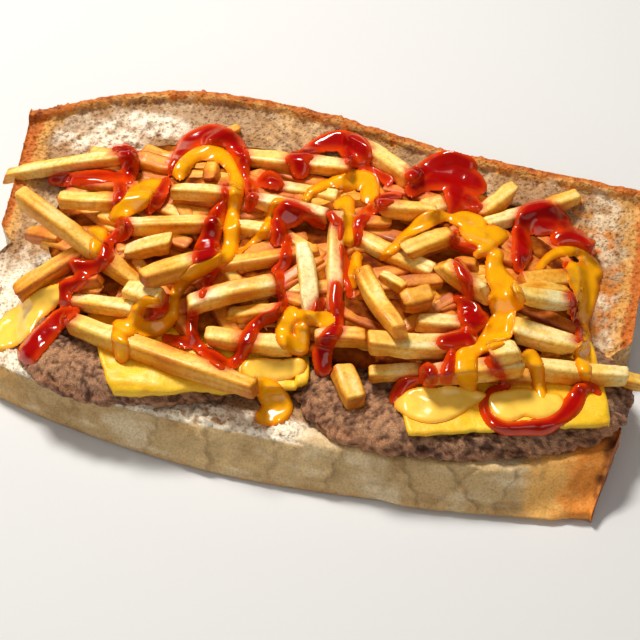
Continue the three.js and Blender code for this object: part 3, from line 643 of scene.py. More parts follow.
# ---- Materials ----
class Finish:
    """A principled material built up by small calls.

    soft is how much light goes below the surface, how many metres deep, and how far for each colour.
    """

    def __init__(self, name, roughness, soft=(), **sockets):
        self.material = bpy.data.materials.new(name)
        self.material.use_nodes = True
        self.tree = self.material.node_tree
        self.shader = self.tree.nodes["Principled BSDF"]
        self.feed("Roughness", roughness)
        for part, value in zip(("Weight", "Scale", "Radius"), soft):
            self.feed("Subsurface " + part, value)
        for socket, value in sockets.items():
            self.feed(socket.replace("_", " "), value)
        self.places = self.node("ShaderNodeTexCoord").outputs["Object"]
        self.normal = None

    def feed(self, socket, value, node=None):
        """Joins a node's output to an input, or sets that input; the shader's unless a node is given."""
        target = (node or self.shader).inputs[socket]
        if isinstance(value, bpy.types.NodeSocket):
            self.tree.links.new(value, target)
        else:
            target.default_value = value

    def node(self, kind, inputs=(), **settings):
        made = self.tree.nodes.new(kind)
        for key, value in settings.items():
            setattr(made, key, value)
        for socket, value in dict(inputs).items():
            self.feed(socket, value, made)
        return made

    def noise(self, size_mm, detail=3.0, roughness=0.55):
        inputs = {"Scale": 1.0 / (size_mm * MM), "Vector": self.places}
        inputs.update({"Detail": detail, "Roughness": roughness})
        return self.node("ShaderNodeTexNoise", inputs).outputs["Fac"]

    def cells(self, size_mm, places, feature="F1"):
        inputs = {"Scale": 1.0 / (size_mm * MM), "Vector": places}
        return self.node("ShaderNodeTexVoronoi", inputs, feature=feature).outputs["Distance"]

    def wavy(self, size_mm, reach_mm):
        """The places pushed about by noise, for cells and lines that wander."""
        inputs = {"Scale": 1.0 / (size_mm * MM), "Vector": self.places}
        drift = self.node("ShaderNodeTexNoise", inputs).outputs["Color"]
        push = self.node("ShaderNodeVectorMath", {"Scale": reach_mm * MM, 0: drift}, operation="SCALE")
        ends = {0: self.places, 1: push.outputs["Vector"]}
        return self.node("ShaderNodeVectorMath", ends, operation="ADD").outputs["Vector"]

    def ramp(self, source, stops):
        """Maps 0..1 to greys or colours given as (place, value) pairs."""
        ramp = self.node("ShaderNodeValToRGB", {"Fac": source})
        elements = ramp.color_ramp.elements
        while len(elements) < len(stops):
            elements.new(0.5)
        for element, (place, value) in zip(elements, stops):
            element.position = place
            rgb = (value, value, value) if isinstance(value, float) else tuple(value)
            element.color = (*rgb, 1.0)
        return ramp.outputs["Color"]

    def tint(self):
        return self.node("ShaderNodeAttribute", attribute_name="tint").outputs["Color"]

    def mix(self, a, b, factor, blend="MIX"):
        inputs = {0: factor, 6: a, 7: b}
        return self.node("ShaderNodeMix", inputs, data_type="RGBA", blend_type=blend).outputs[2]

    def colour(self, source, over=None):
        """The base colour, or that colour multiplied into another."""
        self.feed("Base Color", source if over is None else self.mix(source, over, 1.0, "MULTIPLY"))

    def bump(self, height, depth_mm):
        inputs = {"Strength": 1.0, "Distance": depth_mm * MM, "Height": height}
        if self.normal is not None:
            inputs["Normal"] = self.normal
        self.normal = self.node("ShaderNodeBump", inputs).outputs["Normal"]
        self.feed("Normal", self.normal)

    def roughness(self, source, low, high):
        spread = self.node("ShaderNodeMapRange", {"To Min": low, "To Max": high, "Value": source})
        self.feed("Roughness", spread.outputs["Result"])


def bread_finish():
    """Crust with a fine grain, and crumb, where the tint's alpha is 1, with open pores: darker in their
    hollows and a little lighter on the walls between, as painted shade and light.
    """
    finish = Finish("bread", 0.8, (0.08, 0.0015, (1.0, 0.6, 0.35)))
    tint = finish.node("ShaderNodeAttribute", attribute_name="tint")
    # Pores painted darker in their hollows and a little lighter on the walls between: painted shade and
    # light.
    pores = [(0.1, (0.7, 0.58, 0.46)), (0.4, (0.95, 0.92, 0.88)), (0.6, (1.06, 1.06, 1.06))]
    shaded_pores = finish.ramp(finish.cells(1.8, finish.wavy(1.8, 2.6)), pores)
    lines = finish.cells(30.0, finish.wavy(9.0, 22.0), "DISTANCE_TO_EDGE")
    crackle = finish.ramp(lines, [(0.0, (0.95, 0.92, 0.88)), (0.006, (1.0, 1.0, 1.0))])
    surface = finish.mix(crackle, shaded_pores, tint.outputs["Alpha"])
    speckle = finish.ramp(finish.noise(1.0, 4.0, 0.7), [(0.3, 0.68), (0.5, 1.0), (0.72, 1.18)])
    finish.colour(tint.outputs["Color"], finish.mix(surface, speckle, 1.0, "MULTIPLY"))
    finish.bump(finish.noise(0.9, 3.0, 0.7), 0.35)
    finish.bump(surface, 0.9)
    finish.roughness(finish.noise(4.0), 0.6, 0.9)
    return finish.material


def beef_finish():
    finish = Finish("beef", 0.5, Specular_IOR_Level=0.5)
    grain = [(0.34, 0.35), (0.5, 0.9), (0.66, 1.6)]
    finish.colour(finish.tint(), finish.ramp(finish.noise(0.55, 4.0, 0.85), grain))
    finish.bump(finish.noise(0.7, 4.0, 0.8), 0.8)
    finish.roughness(finish.noise(1.0, 3.0, 0.7), 0.25, 0.8)
    return finish.material


def slice_finish():
    finish = Finish("cheese_slice", 0.4, (0.1, 0.002, (1.0, 0.5, 0.1)))
    soft = finish.ramp(finish.noise(9.0), [(0.3, PAINT["slice_deep"]), (0.7, PAINT["slice_light"])])
    finish.colour(soft, finish.ramp(finish.noise(0.8, 3.0, 0.7), [(0.3, 0.86), (0.6, 1.04)]))
    finish.bump(finish.noise(2.2, 3.0, 0.6), 0.3)
    finish.roughness(finish.noise(5.0), 0.3, 0.55)
    return finish.material


def fry_finish():
    soft = (0.2, 0.0012, (1.0, 0.75, 0.35))
    finish = Finish("fries", 0.42, soft, Coat_Weight=0.1, Coat_Roughness=0.14)
    skin = [(0.3, (0.78, 0.62, 0.4)), (0.52, (1.0, 1.0, 1.0)), (0.75, (1.1, 1.12, 1.16))]
    finish.colour(finish.tint(), finish.ramp(finish.noise(2.2, 4.0, 0.7), skin))
    finish.bump(finish.noise(1.1, 4.0, 0.7), 0.3)
    finish.roughness(finish.noise(2.0), 0.35, 0.65)
    return finish.material


def gap_shade_finish():
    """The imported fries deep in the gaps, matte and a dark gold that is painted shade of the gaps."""
    finish = Finish("gap_shade_fries", 0.9, Specular_IOR_Level=0.1)
    tones = [(0.35, PAINT["deep_dark"]), (0.55, PAINT["deep"]), (0.7, PAINT["deep_light"])]
    finish.colour(finish.ramp(finish.noise(7.0, 2.0), tones))
    return finish.material


def sauce_finish(name, roughness, weight):
    """Glossy sauce whose colour comes from how thick it lies."""
    finish = Finish(name, roughness, (weight, 0.002, (1.0, 0.35, 0.05)))
    finish.colour(finish.tint(), finish.ramp(finish.noise(7.0, 2.0), [(0.3, 0.9), (0.7, 1.08)]))
    return finish.material


# ---- The loaf's shape ----
def front_foot(x):
    t = np.abs(x) / LOAF_HALF
    inwards = np.where(x < 0, FRONT_FOOT["left_in"] * t * t, FRONT_FOOT["right_in"] * t**1.5)
    return FRONT_FOOT["mid"] + inwards


def front_cut(x):
    return FRONT_CUT["mid"] + FRONT_CUT["end_in"] * (np.abs(x) / LOAF_HALF) ** 4


def left_sag(x):
    return 5 * np.clip((-x - 95) / 50, 0, 1) ** 2


def front_crumb(y):
    return FOLD_Z - CUT_RISE * y / -FRONT_CUT["mid"]


def back_crumb(x, y):
    t = np.clip(y / (along(RIM_Y, x) - RIM_WIDTH), 0, 1)
    rise = along(RIM_Z, x) - RIM_DROP - FOLD_Z
    return FOLD_Z + rise * t * (0.35 + 0.65 * t)


def crumb(x, y):
    return np.where(y < 0, front_crumb(y) - left_sag(x), back_crumb(x, y))


def end_shift(side, y):
    """How far a loaf end stands beyond the plain half length."""
    notch = NOTCH_DEPTH * np.maximum(0, 1 - np.abs(y) / NOTCH_HALF)
    left = np.where(y > 0, 5 * y / 66 - 4, -3) - notch + 3
    right = np.where(y < -40, 2 - 6 * (-y - 40) / 35, 1) - notch + 1
    return np.where(side < 0, left, right)


def loaf_keys(x):
    """Key points of the cross-sections at the array x: the shown side, then the underside."""
    foot = front_foot(x)
    cut = front_cut(x)
    cut_z = front_crumb(cut) - left_sag(x)
    rim_y = along(RIM_Y, x)
    rim_z = along(RIM_Z, x)
    lip = LIP * np.clip(np.minimum(x - 55, 138 - x) / 10, 0, 1)
    fold = 0.9 * uneven(x * 0.05, 1.0, 3)
    one = np.ones_like(x)
    shown = [
        (foot, 1 * one),
        (foot - lip, 2.5 * one),
        (foot + 0.6, 5 * one),
        (lerp(foot, cut, 0.42) - BULGE + fold, cut_z * 0.42),
        (lerp(foot, cut, 0.76) - BULGE - fold, cut_z * 0.76),
        (cut, cut_z),
    ]
    for t in (0.94, 0.7, 0.45, 0.2):
        y = t * cut
        shown.append((y, front_crumb(y) - left_sag(x)))
    shown.append((0 * one, FOLD_Z * one))
    for t in (0.12, 0.28, 0.45, 0.62, 0.78, 0.9):
        y = t * (rim_y - RIM_WIDTH)
        shown.append((y, back_crumb(x, y)))
    shown.append((rim_y - RIM_WIDTH, rim_z - RIM_DROP))
    shown.append((rim_y - RIM_WIDTH + 1.5, rim_z - 0.8))
    shown.append((rim_y - 1, rim_z))
    shown.append((rim_y + 1, rim_z - 2.5))
    under = [(rim_y + 2.5, 0.76 * rim_z), (rim_y + 0.5, 0.55 * rim_z)]
    dome = [(0.16, 1), (0.32, 0), (0.48, 0), (0.64, 0), (0.78, 3), (0.88, 9), (0.95, 16)]
    for t, z in reversed(dome):
        under.append((t * rim_y, z * one))
    under.append((0 * one, FOLD_UNDER_Z * one))
    for t in (0.22, 0.38, 0.5, 0.64, 0.76, 0.84, 0.9, 0.94, 0.97):
        under.append((t * foot, 0 * one))
    return shown, under


def resampled(keys, steps):
    """A smooth line through key points, each given for every section, cut into steps a span."""
    y = np.stack([key[0] for key in keys], axis=1)
    z = np.stack([key[1] for key in keys], axis=1)
    line = np.stack([y, z], axis=2)
    parts = []
    last = line.shape[1] - 1
    for k, count in enumerate(steps):
        p0, p1 = line[:, max(0, k - 1)], line[:, k]
        p2, p3 = line[:, k + 1], line[:, min(last, k + 2)]
        span = np.linalg.norm(p2 - p1, axis=1, keepdims=True)
        way1 = (p2 - p0) / np.maximum(np.linalg.norm(p2 - p0, axis=1, keepdims=True), 1e-6) * span
        way2 = (p3 - p1) / np.maximum(np.linalg.norm(p3 - p1, axis=1, keepdims=True), 1e-6) * span
        for s in range(count):
            t = s / count
            h1, h2 = 2 * t**3 - 3 * t**2 + 1, -2 * t**3 + 3 * t**2
            h3, h4 = t**3 - 2 * t**2 + t, t**3 - t**2
            parts.append(h1 * p1 + h2 * p2 + 0.8 * (h3 * way1 + h4 * way2))
    parts.append(line[:, last])
    return np.stack(parts, axis=1)


def loaf_grid():
    """Points of the loaf, one row a section, round from the foot over the shown side."""
    count = int(2 * LOAF_HALF / LOAF_STEP)
    s = np.linspace(-1, 1, count)
    spread = np.sin(s * np.pi / 2) * 0.35 + s * 0.65
    x = spread * LOAF_HALF
    shown_keys, under_keys = loaf_keys(x)
    shown = resampled(shown_keys, SHOWN_STEPS)
    ring_keys = [shown_keys[-1], *under_keys, shown_keys[0]]
    under = resampled(ring_keys, [UNDER_STEP] * (len(ring_keys) - 1))[:, 1:-1]
    ring = np.concatenate([shown, under], axis=1)
    weight = np.abs(spread) ** 12
    shift = end_shift(np.sign(s)[:, None], ring[:, :, 0]) * weight[:, None] * np.sign(s)[:, None]
    grid = np.stack([x[:, None] + shift, ring[:, :, 0], ring[:, :, 1]], axis=2)
    return grid, shown.shape[1]


def crust_creases(x, z):
    """Steps and cracks of the front crust: how far it stands out, and how close a crack is."""
    out = np.zeros_like(x)
    crack = np.zeros_like(x)
    for at, slant, step in CREASES:
        d = x - at - slant * (z - 9) - 0.9 * np.sin(z * 0.9 + at)
        out += step * (smooth(-1.2, 1.2, d) - 0.5) * np.exp(-np.abs(d) / 10)
        crack = np.maximum(crack, np.exp(-((d / 0.7) ** 2)) * min(1.0, abs(step)))
    return 0.8 * out - 0.4 * crack, crack


def crumb_tints(places, zone, fine, wide):
    hole, _ = cells(places, PORE, 21)
    mottle, toast = zone["mottle"], zone["toast"]
    return coated(one_colour("crumb", len(places)), [
        ("crumb_light", 0.7 * smooth(0.1, 0.8, wide + 0.5 * fine)),
        ("crumb_shade", 0.6 * smooth(0.1, 0.8, -wide + 0.4 * fine)),
        # Darker in the pores' hollows: painted shade.
        ("pore_shade", 0.7 * (1 - smooth(0.16, 0.34, hole))),
        ("torn", zone["torn"] * smooth(-0.7, 0.2, fine + 0.3)),
        ("damp", 0.75 * zone["damp"]),
        ("stain", 0.9 * zone["stain"] * smooth(-0.5, 0.35, fine + 0.2)),
        ("mottle_orange", 0.85 * mottle * smooth(0.1, 0.5, 0.5 * fine + 0.8 * wide)),
        ("mottle_pale", 0.7 * mottle * smooth(-0.1, 0.6, -0.4 * fine - 0.8 * wide)),
        ("toast_gold", 0.9 * smooth(0.12, 0.45, toast + 0.1 * fine)),
        ("toast_brown", smooth(0.48, 0.8, toast + 0.14 * fine)),
        ("toast_dark", 0.85 * smooth(0.95, 1.4, toast + 0.3 * fine)),
    ])


def crust_tints(places, zone, fine, wide):
    flour = layered(places * np.array([0.28, 1.0, 1.0]), 5.0, 3, 19)
    baked = zone["baked"] + 0.12 * fine
    return coated(one_colour("crust", len(places)), [
        ("crust_shade", 0.6 * smooth(-0.1, 0.9, wide + 0.7 * flour)),
        ("flour", 0.7 * smooth(0.0, 1.0, 0.7 * flour - 0.5 * wide)),
        ("crack", 0.4 * zone["crack"]),
        ("foot", 0.6 * smooth(4.0, 0.5, places[:, 2] + 1.5 * fine)),
        ("tan", zone["tan"] * smooth(-0.9, 0.3, fine + 0.5 * wide)),
        ("gold", smooth(0.1, 0.5, baked)),
        ("baked", smooth(0.6, 1.0, baked)),
        ("burnt", smooth(0.45, 1.1, zone["burnt"] + 0.25 * fine)),
    ])


def end_tints(places):
    """The torn ends: toasted crumb, darkest at the right end's front corner, with painted shade in the
    pores; alpha 1 opens pores.
    """
    x, y = places[:, 0], places[:, 1]
    fine, wide = layered(places, 3.0, 3, 5), layered(places, 12.0, 2, 9)
    hole, _ = cells(places, PORE, 21)
    tint = coated(one_colour("end", len(places)), [
        ("end_light", 0.9 * smooth(0.0, 0.6, wide + 0.6 * fine)),
        # Darker in the pores' hollows: painted shade.
        ("end_pore_shade", 0.7 * (1 - smooth(0.14, 0.34, hole))),
        ("end_toast", 0.9 * smooth(-15, -45, y + 8 * fine) * (x > 0)),
    ])
    return np.concatenate([tint, np.ones((len(places), 1))], axis=1)


def bread_tints(places, zone):
    """Colour of each point of the loaf, from how baked, torn, damp or stained it is there, with painted
    shade in the pores.
    """
    fine = layered(places, 3.0, 3, 5)
    wide = layered(places, 14.0, 3, 9)
    crust = zone["crust"][:, None]
    tint = crumb_tints(places, zone, fine, wide) * (1 - crust)
    tint += crust_tints(places, zone, fine, wide) * crust
    return np.concatenate([tint, 1 - crust], axis=1)


def spotted(places, spots):
    """0 to 1 over the places, 1 inside the given patches."""
    wander = 0.25 * noise(places, 5.0, 61)
    found = np.zeros(len(places))
    for x, y, half_x, half_y, strength in spots:
        reach = np.hypot((places[:, 0] - x) / half_x, (places[:, 1] - y) / half_y) + wander
        found = np.maximum(found, strength * (1 - smooth(0.6, 1.1, reach)))
    return found


def toasted(places, wobble):
    """How far browned the crumb is: at the back rim, the ends, in drifts, and at the right front."""
    x, y = places[:, 0], places[:, 1]
    rim_distance = along(RIM_Y, x) - y
    end_distance = LOAF_HALF - np.abs(x)
    back = smooth(0, 6, y)
    edge = smooth(6.0, 1.2, rim_distance + wobble) * back
    ends = np.exp(-np.maximum(end_distance + wobble, 0) / 5.0)
    toast = np.maximum(edge, ends * np.where(y > 0, 0.9, 0.3))
    toast += edge * 0.35 * noise(places, 2.6, 8)
    toast += 0.22 * back * smooth(0.0, 0.7, noise(places, 20.0, 77)) * smooth(60, 5, rim_distance)
    return toast + 0.9 * smooth(114, 138, x) * smooth(6, -10, y) * smooth(-70, -30, y)


def bread_zones(places, column, columns_shown):
    """Where the loaf is crust, toasted, torn, damp, stained or baked dark: values 0 to 1."""
    x, y, z = places[:, 0], places[:, 1], places[:, 2]
    wobble = 0.9 * noise(places, 4.0, 51)
    from_cut = y - front_cut(x)
    front = y < 0
    outer = (column >= columns_shown - RIM_STEPS + 8) | (column < CUT_AT - 2)
    lap = smooth(12, 30, x) * smooth(9, 5, from_cut + wobble) * front
    front_edge = 1.3 * smooth(9, 3, np.abs(from_cut - 3)) * front * smooth(34, 14, x)
    right_front = smooth(0, -40, y) * smooth(100, 142, x)
    right_end = np.maximum(smooth(138, 146, x), smooth(118, 146, x) * smooth(6, 0, z))
    return {
        "crust": np.maximum(np.where(outer, 1.0, 0.0), lap),
        "toast": toasted(places, wobble),
        "torn": np.maximum(spotted(places, TORN_SPOTS), front_edge),
        "damp": spotted(places, DAMP_SPOTS),
        "stain": spotted(places, STAIN_SPOTS),
        "crack": crust_creases(x, z)[1] * (column < CUT_AT),
        "tan": np.maximum(smooth(-92, -130, x) * smooth(20, -20, y), smooth(0, 40, y)),
        "baked": right_front + smooth(30, 60, y) * (0.1 + 0.75 * smooth(24, 42, z)),
        "burnt": right_end * smooth(-20, -45, y),
        "mottle": smooth(84, 112, x) * smooth(-5, 8, y),
    }


def bread_relief(places, zone, column, columns_shown):
    """How far each point stands out: pores and tears in the crumb, wrinkles and steps in the crust."""
    hole, pick = cells(places, PORE, 21)
    small, _ = cells(places, 1.9, 33)
    crumb_out = 0.6 * layered(places, 7.0, 3, 3) + 0.35 * noise(places, 2.0, 4)
    crumb_out -= 1.2 * (1 - smooth(0.1, 0.36, hole)) * (0.4 + 0.6 * pick)
    crumb_out -= 0.5 * (1 - smooth(0.1, 0.4, small))
    crumb_out += 1.4 * layered(places, 3.4, 3, 13) * zone["torn"]
    z = places[:, 2]
    wrinkle = noise(places * np.array([1.0, 1.0, 0.3]), 2.6, 27)
    crust_out = 0.6 * layered(places, 11.0, 3, 15) + 0.2 * wrinkle + 0.12 * noise(places, 1.8, 6)
    crust_out = crust_out * smooth(0.5, 4, z)
    crust_out += crust_creases(places[:, 0], z)[0] * (column < CUT_AT) * smooth(1.5, 5, z)
    rim_out = 0.3 * layered(places, 5.0, 3, 23) * (np.abs(column - columns_shown + 6) < 9)
    crust = zone["crust"]
    return np.minimum((1 - crust) * crumb_out + crust * crust_out + rim_out, 1.4)


def loaf_piece(material):
    grid, columns_shown = loaf_grid()
    rows, columns = grid.shape[:2]
    normal = -grid_normals(grid)
    places = grid.reshape(-1, 3)
    column = np.tile(np.arange(columns), rows)
    zone = bread_zones(places, column, columns_shown)
    out = bread_relief(places, zone, column, columns_shown)
    moved = places + normal.reshape(-1, 3) * out[:, None]
    moved[:, 2] = np.maximum(moved[:, 2], 0.0)
    body = moved.reshape(rows, columns, 3)
    tint = bread_tints(places, zone).reshape(rows, columns, 4)
    left, right = end_rings(body, normal, 0), end_rings(body, normal, -1)[::-1]
    torn_left = [end_tints(ring) for ring in left[:-2]]
    torn_right = [end_tints(ring) for ring in right[2:]]
    points = np.concatenate([*left, *body, *right])
    tints = np.concatenate([*torn_left, tint[0], tint[0], *tint, tint[-1], tint[-1], *torn_right])
    faces = tube_faces(len(left) + rows + len(right), columns, flipped=True)
    return make_piece("bread_roll", points, faces, material, ["bread"], tints)


def spine(ring):
    """For each point of a loaf end's outline, the place midway between its upper and lower lines."""
    y = ring[:, 1]
    first, last = int(np.argmin(y)), int(np.argmax(y))
    upper = ring[first : last + 1]
    lower = np.roll(ring, -last, axis=0)[: len(ring) - last + first + 1][::-1]
    x_and_z = []
    for line in (upper, lower):
        across = np.maximum.accumulate(line[:, 1])
        x_and_z.append([np.interp(y, across, line[:, c]) for c in (0, 2)])
    (upper_x, upper_z), (lower_x, lower_z) = x_and_z
    return np.stack([(upper_x + lower_x) / 2, y, (upper_z + lower_z) / 2], axis=1)


def end_rings(body, normal, row):
    """Rings that round a loaf end over and close its torn face, innermost of the face first."""
    side = 1.0 if row else -1.0
    inward = normal[row].copy()
    inward[:, 0] = 0
    rings = []
    for inset, ahead in END_ROUND:
        ring = body[row] - inward * inset
        ring[:, 0] += side * ahead
        ring[:, 2] = np.maximum(ring[:, 2], 0.0)
        rings.append(ring)
    middle = spine(rings[0])
    face = []
    for share in CUT_SHARES:
        ring = lerp(rings[0], middle, share)
        ring[:, 0] += side * np.minimum(0.9 * layered(ring, 5.0, 3, 41), 0.8) * min(1.0, 4 * share)
        face.append(ring)
    return face + rings


# ---- Patties ----
def patty_base(y):
    return front_crumb(np.minimum(y, 0)) + GAP + 0.1


def rounded_reach(u, v, power):
    """1 along a rounded rectangle of half sides 1, for u and v of 0 or more."""
    return (u**power + v**power) ** (1 / power)


def ragged(patty, angle):
    return 1 + 0.02 * uneven(angle * 2.2, np.sin(angle) * 3, patty["seed"])


def patty_reach(patty, x, y):
    """0 in the middle of a patty, 1 at its uneven edge."""
    turn = math.radians(patty["turn"])
    dx, dy = x - patty["x"], y - patty["y"]
    u = (dx * math.cos(turn) + dy * math.sin(turn)) / (patty["length"] / 2)
    v = (dy * math.cos(turn) - dx * math.sin(turn)) / (patty["width"] / 2)
    return rounded_reach(np.abs(u), np.abs(v), PATTY_POWER) / ragged(patty, np.arctan2(v, u))


def patty_top(reach, y):
    return patty_base(y) + PATTY_THICK - PATTY_EDGE * np.clip((reach - 0.8) / 0.2, 0, 1) ** 2.2


def patty_grid(patty):
    """Rings from the middle of the top outwards, down the side and in below."""
    turn = math.radians(patty["turn"])
    angle = np.linspace(0, 2 * np.pi, PATTY_SECTORS, endpoint=False)
    c, s = np.cos(angle), np.sin(angle)
    outline = ragged(patty, angle) / rounded_reach(np.abs(c), np.abs(s), PATTY_POWER)
    tops = [(share, None) for share in (0.03, *np.linspace(0.06, 1.0, PATTY_RINGS))]
    rings = []
    for share, height in [*tops, *[side[:2] for side in PATTY_SIDE]]:
        u = share * outline * c * patty["length"] / 2
        v = share * outline * s * patty["width"] / 2
        x = patty["x"] + u * math.cos(turn) - v * math.sin(turn)
        y = patty["y"] + u * math.sin(turn) + v * math.cos(turn)
        if height is None:
            z = patty_top(np.full_like(x, share), y)
        else:
            z = patty_base(y) + (PATTY_THICK - PATTY_EDGE) * height
        rings.append(np.stack([x, y, z], axis=1))
    shares = [top[0] for top in tops] + [side[0] for side in PATTY_SIDE]
    relief_share = [1.0] * len(tops) + [side[2] for side in PATTY_SIDE]
    return np.stack(rings), np.repeat(shares, PATTY_SECTORS), np.repeat(relief_share, PATTY_SECTORS)


def patty_piece(patty, material):
    """Coarse mince: lumps and strings in relief, lighter on the lumps and darker in the pits as painted
    light and shade, and redder at the rim and down the side.
    """
    grid, share, relief_share = patty_grid(patty)
    normal = grid_normals(np.concatenate([grid, grid[:, :2]], axis=1))[:, :PATTY_SECTORS]
    places = grid.reshape(-1, 3)
    seed = patty["seed"]
    lump, lump_draw = cells(places, 2.5, seed)
    grain, grain_draw = cells(places, 1.5, seed + 50)
    relief = 0.8 * (0.5 - lump) * (0.4 + 1.1 * lump_draw) + 0.6 * (0.5 - grain)
    relief += 0.45 * layered(places, 3.0, 3, seed + 3)
    wide = noise(places, 11.0, seed + 7)
    rough_edge = 1.2 * layered(places, 3.4, 3, seed + 9) * smooth(0.9, 1.0, share)
    out = np.clip(relief + 0.7 * wide + rough_edge, -2.0, 1.2) * relief_share
    points = places + normal.reshape(-1, 3) * out[:, None]
    # The tone follows the relief: lighter on the raised lumps and darker in the pits, a painted light and
    # shade, mixed with the grain's own tone.
    tone = smooth(-0.75, 0.65, relief + 0.7 * (grain_draw - 0.5) + 0.25 * wide)[:, None]
    greyish = smooth(-0.2, 0.6, noise(places, 12.0, seed + 19))[:, None] * 0.4
    brown_and_shade = lerp(PAINT["beef_dark"], PAINT["beef_light"], tone)
    tint = lerp(brown_and_shade, lerp(PAINT["grey_dark"], PAINT["grey_light"], tone), greyish)
    side = smooth(0.9, 1.0, share)[:, None]
    tint = lerp(tint, tint * np.array([1.1, 0.98, 0.94]), side)
    faces = tube_faces(len(grid), PATTY_SECTORS)
    return make_piece("mince_" + patty["name"], points, faces, material, [patty["name"]], tint)


# ---- What lies under the cheese and the heap ----
def rest_z(x, y):
    z = np.where(y < front_cut(x), 0.0, crumb(x, y))
    for patty in PATTIES:
        reach = patty_reach(patty, x, y)
        z = np.where(reach <= 1.02, np.maximum(z, patty_top(np.minimum(reach, 1), y)), z)
    return z


def soft_z(x, y):
    """The lie of a soft slice: the patties where they carry it, and a gentle droop past them."""
    droop = np.where(y < 0, patty_base(y) + PATTY_THICK * 0.6, patty_base(np.zeros(1))[0] + 8 - 0.22 * y)
    z = np.maximum(droop, crumb(x, y) + 1)
    for k in range(8):
        angle = math.pi * k / 4
        z = np.maximum(z, rest_z(x + 2.5 * math.cos(angle), y + 2.5 * math.sin(angle)))
    return np.maximum(z, rest_z(x, y)) + GAP + 0.2


def stiff_z(x, y):
    """The lie of a slice that is too stiff to follow a patty's rounded edge all the way down."""
    z = soft_z(x, y)
    for patty in PATTIES:
        reach = patty_reach(patty, x, y)
        z = np.where(reach <= 1.0, np.maximum(z, patty_top(np.minimum(reach, 0.9), y)), z)
    return z


def slice_place(corners, u, v):
    a, b, c, d = [np.array(corner, float) for corner in corners]
    near = a + (b - a) * u[..., None]
    far = d + (c - d) * u[..., None]
    return near + (far - near) * v[..., None]


def slice_piece(cheese, material):
    """A square slice with rounded corners, soft edges, and low bulges where it has melted."""
    n = SLICE_CELLS + 1
    seed = cheese["seed"]
    s = np.linspace(-1, 1, n)
    u, v = np.meshgrid(s, s, indexing="ij")
    corner = np.maximum(np.abs(u), np.abs(v))
    pull = 1 - 0.035 * (np.minimum(np.abs(u), np.abs(v)) / np.maximum(corner, 1e-6)) ** 8 * corner
    xy = slice_place(cheese["corners"], u * pull / 2 + 0.5, v * pull / 2 + 0.5)
    x, y = xy[..., 0].ravel(), xy[..., 1].ravel()
    flat = np.stack([x, y, np.zeros_like(x)], axis=1)
    edge = corner.ravel()
    lie = stiff_z(x, y)
    top = lie + SLICE_SHOWN
    top += (0.6 * noise(flat, 11.0, seed) + 0.3 * noise(flat, 4.0, seed + 1)) * smooth(1.0, 0.94, edge)
    top -= 0.7 * smooth(0.97, 1.0, edge) ** 2
    wave = (0.8 * noise(flat, 9.0, seed + 2) + 0.5 * noise(flat, 3.0, seed + 3)) * smooth(0.85, 1.0, edge)
    bottom = np.maximum(top - 1.7, soft_z(x, y) + 0.05)
    above = np.stack([x, y + wave, np.maximum(top, bottom + 0.5)], axis=1)
    below = np.stack([x, y + wave, bottom], axis=1)
    side = list(range(n)) + [i * n + n - 1 for i in range(1, n)]
    side += [n * n - 1 - j for j in range(1, n)] + [i * n for i in range(n - 2, 0, -1)]
    wall = [[a + n * n, b + n * n, b, a] for a, b in zip(side, side[1:] + side[:1])]
    faces = grid_faces(n, n).tolist() + grid_faces(n, n, start=n * n)[:, ::-1].tolist() + wall
    points = np.concatenate([above, below])
    return make_piece("slice_" + cheese["name"], points, faces, material, [cheese["name"]])


# ---- Height map of the heap ----
class HeightMap:
    def __init__(self):
        self.z = np.zeros((2 * MAP_X + 1, 2 * MAP_Y + 1))
        x = np.arange(-MAP_X, MAP_X + 1, dtype=float)
        y = np.arange(-MAP_Y, MAP_Y + 1, dtype=float)
        self.x, self.y = np.meshgrid(x, y, indexing="ij")

    def cell(self, x, y):
        i = np.clip(np.floor(np.asarray(x) + 0.5).astype(int) + MAP_X, 0, 2 * MAP_X)
        j = np.clip(np.floor(np.asarray(y) + 0.5).astype(int) + MAP_Y, 0, 2 * MAP_Y)
        return i, j

    def at(self, x, y):
        return self.z[self.cell(x, y)]

    def raise_to(self, x, y, z):
        np.maximum.at(self.z, self.cell(x, y), z)

    def highest(self, x, y, radius):
        z = self.at(x, y)
        for k in range(8):
            angle = math.pi * k / 4
            z = np.maximum(z, self.at(x + radius * math.cos(angle), y + radius * math.sin(angle)))
        return z


def heap_z(x, y):
    across = 1 - ((y - HEAP["middle_y"]) / HEAP["half_depth"]) ** 2
    lengthways = 1 - (x / HEAP["half_length"]) ** 4
    return HEAP["edge_z"] + HEAP["rise"] * np.maximum(0, across) * np.maximum(0, lengthways)


def core_reach(x, y):
    u = np.abs((x - CORE["x"]) / CORE["half_length"])
    v = np.abs((y - CORE["y"]) / CORE["half_depth"])
    return rounded_reach(u, v, CORE["power"])


def core_top(heap, x, y, share):
    lowest = heap.highest(x, y, CORE_STEP) + 2.5 - share
    return np.maximum(lowest, heap_z(x, y) - CORE["below"] - 6 * share**4)


def base_map():
    """The bread, patties and slices, and then the heap's packed core over them."""
    heap = HeightMap()
    x, y = heap.x, heap.y
    on_bread = (np.abs(x) < LOAF_HALF) & (y > front_cut(x)) & (y < along(RIM_Y, x))
    heap.z = np.where(on_bread, rest_z(x, y) + GAP, 0.0)
    shares = np.arange(0, 1.0001, 0.008)
    u, v = np.meshgrid(shares, shares, indexing="ij")
    for cheese in SLICES:
        xy = slice_place(cheese["corners"], u, v)
        heap.raise_to(xy[..., 0], xy[..., 1], soft_z(xy[..., 0], xy[..., 1]) + SLICE_THICK + GAP)
    share = core_reach(x, y)
    heap.z = np.where(share < 1, np.maximum(heap.z, core_top(heap, x, y, share)), heap.z)
    return heap


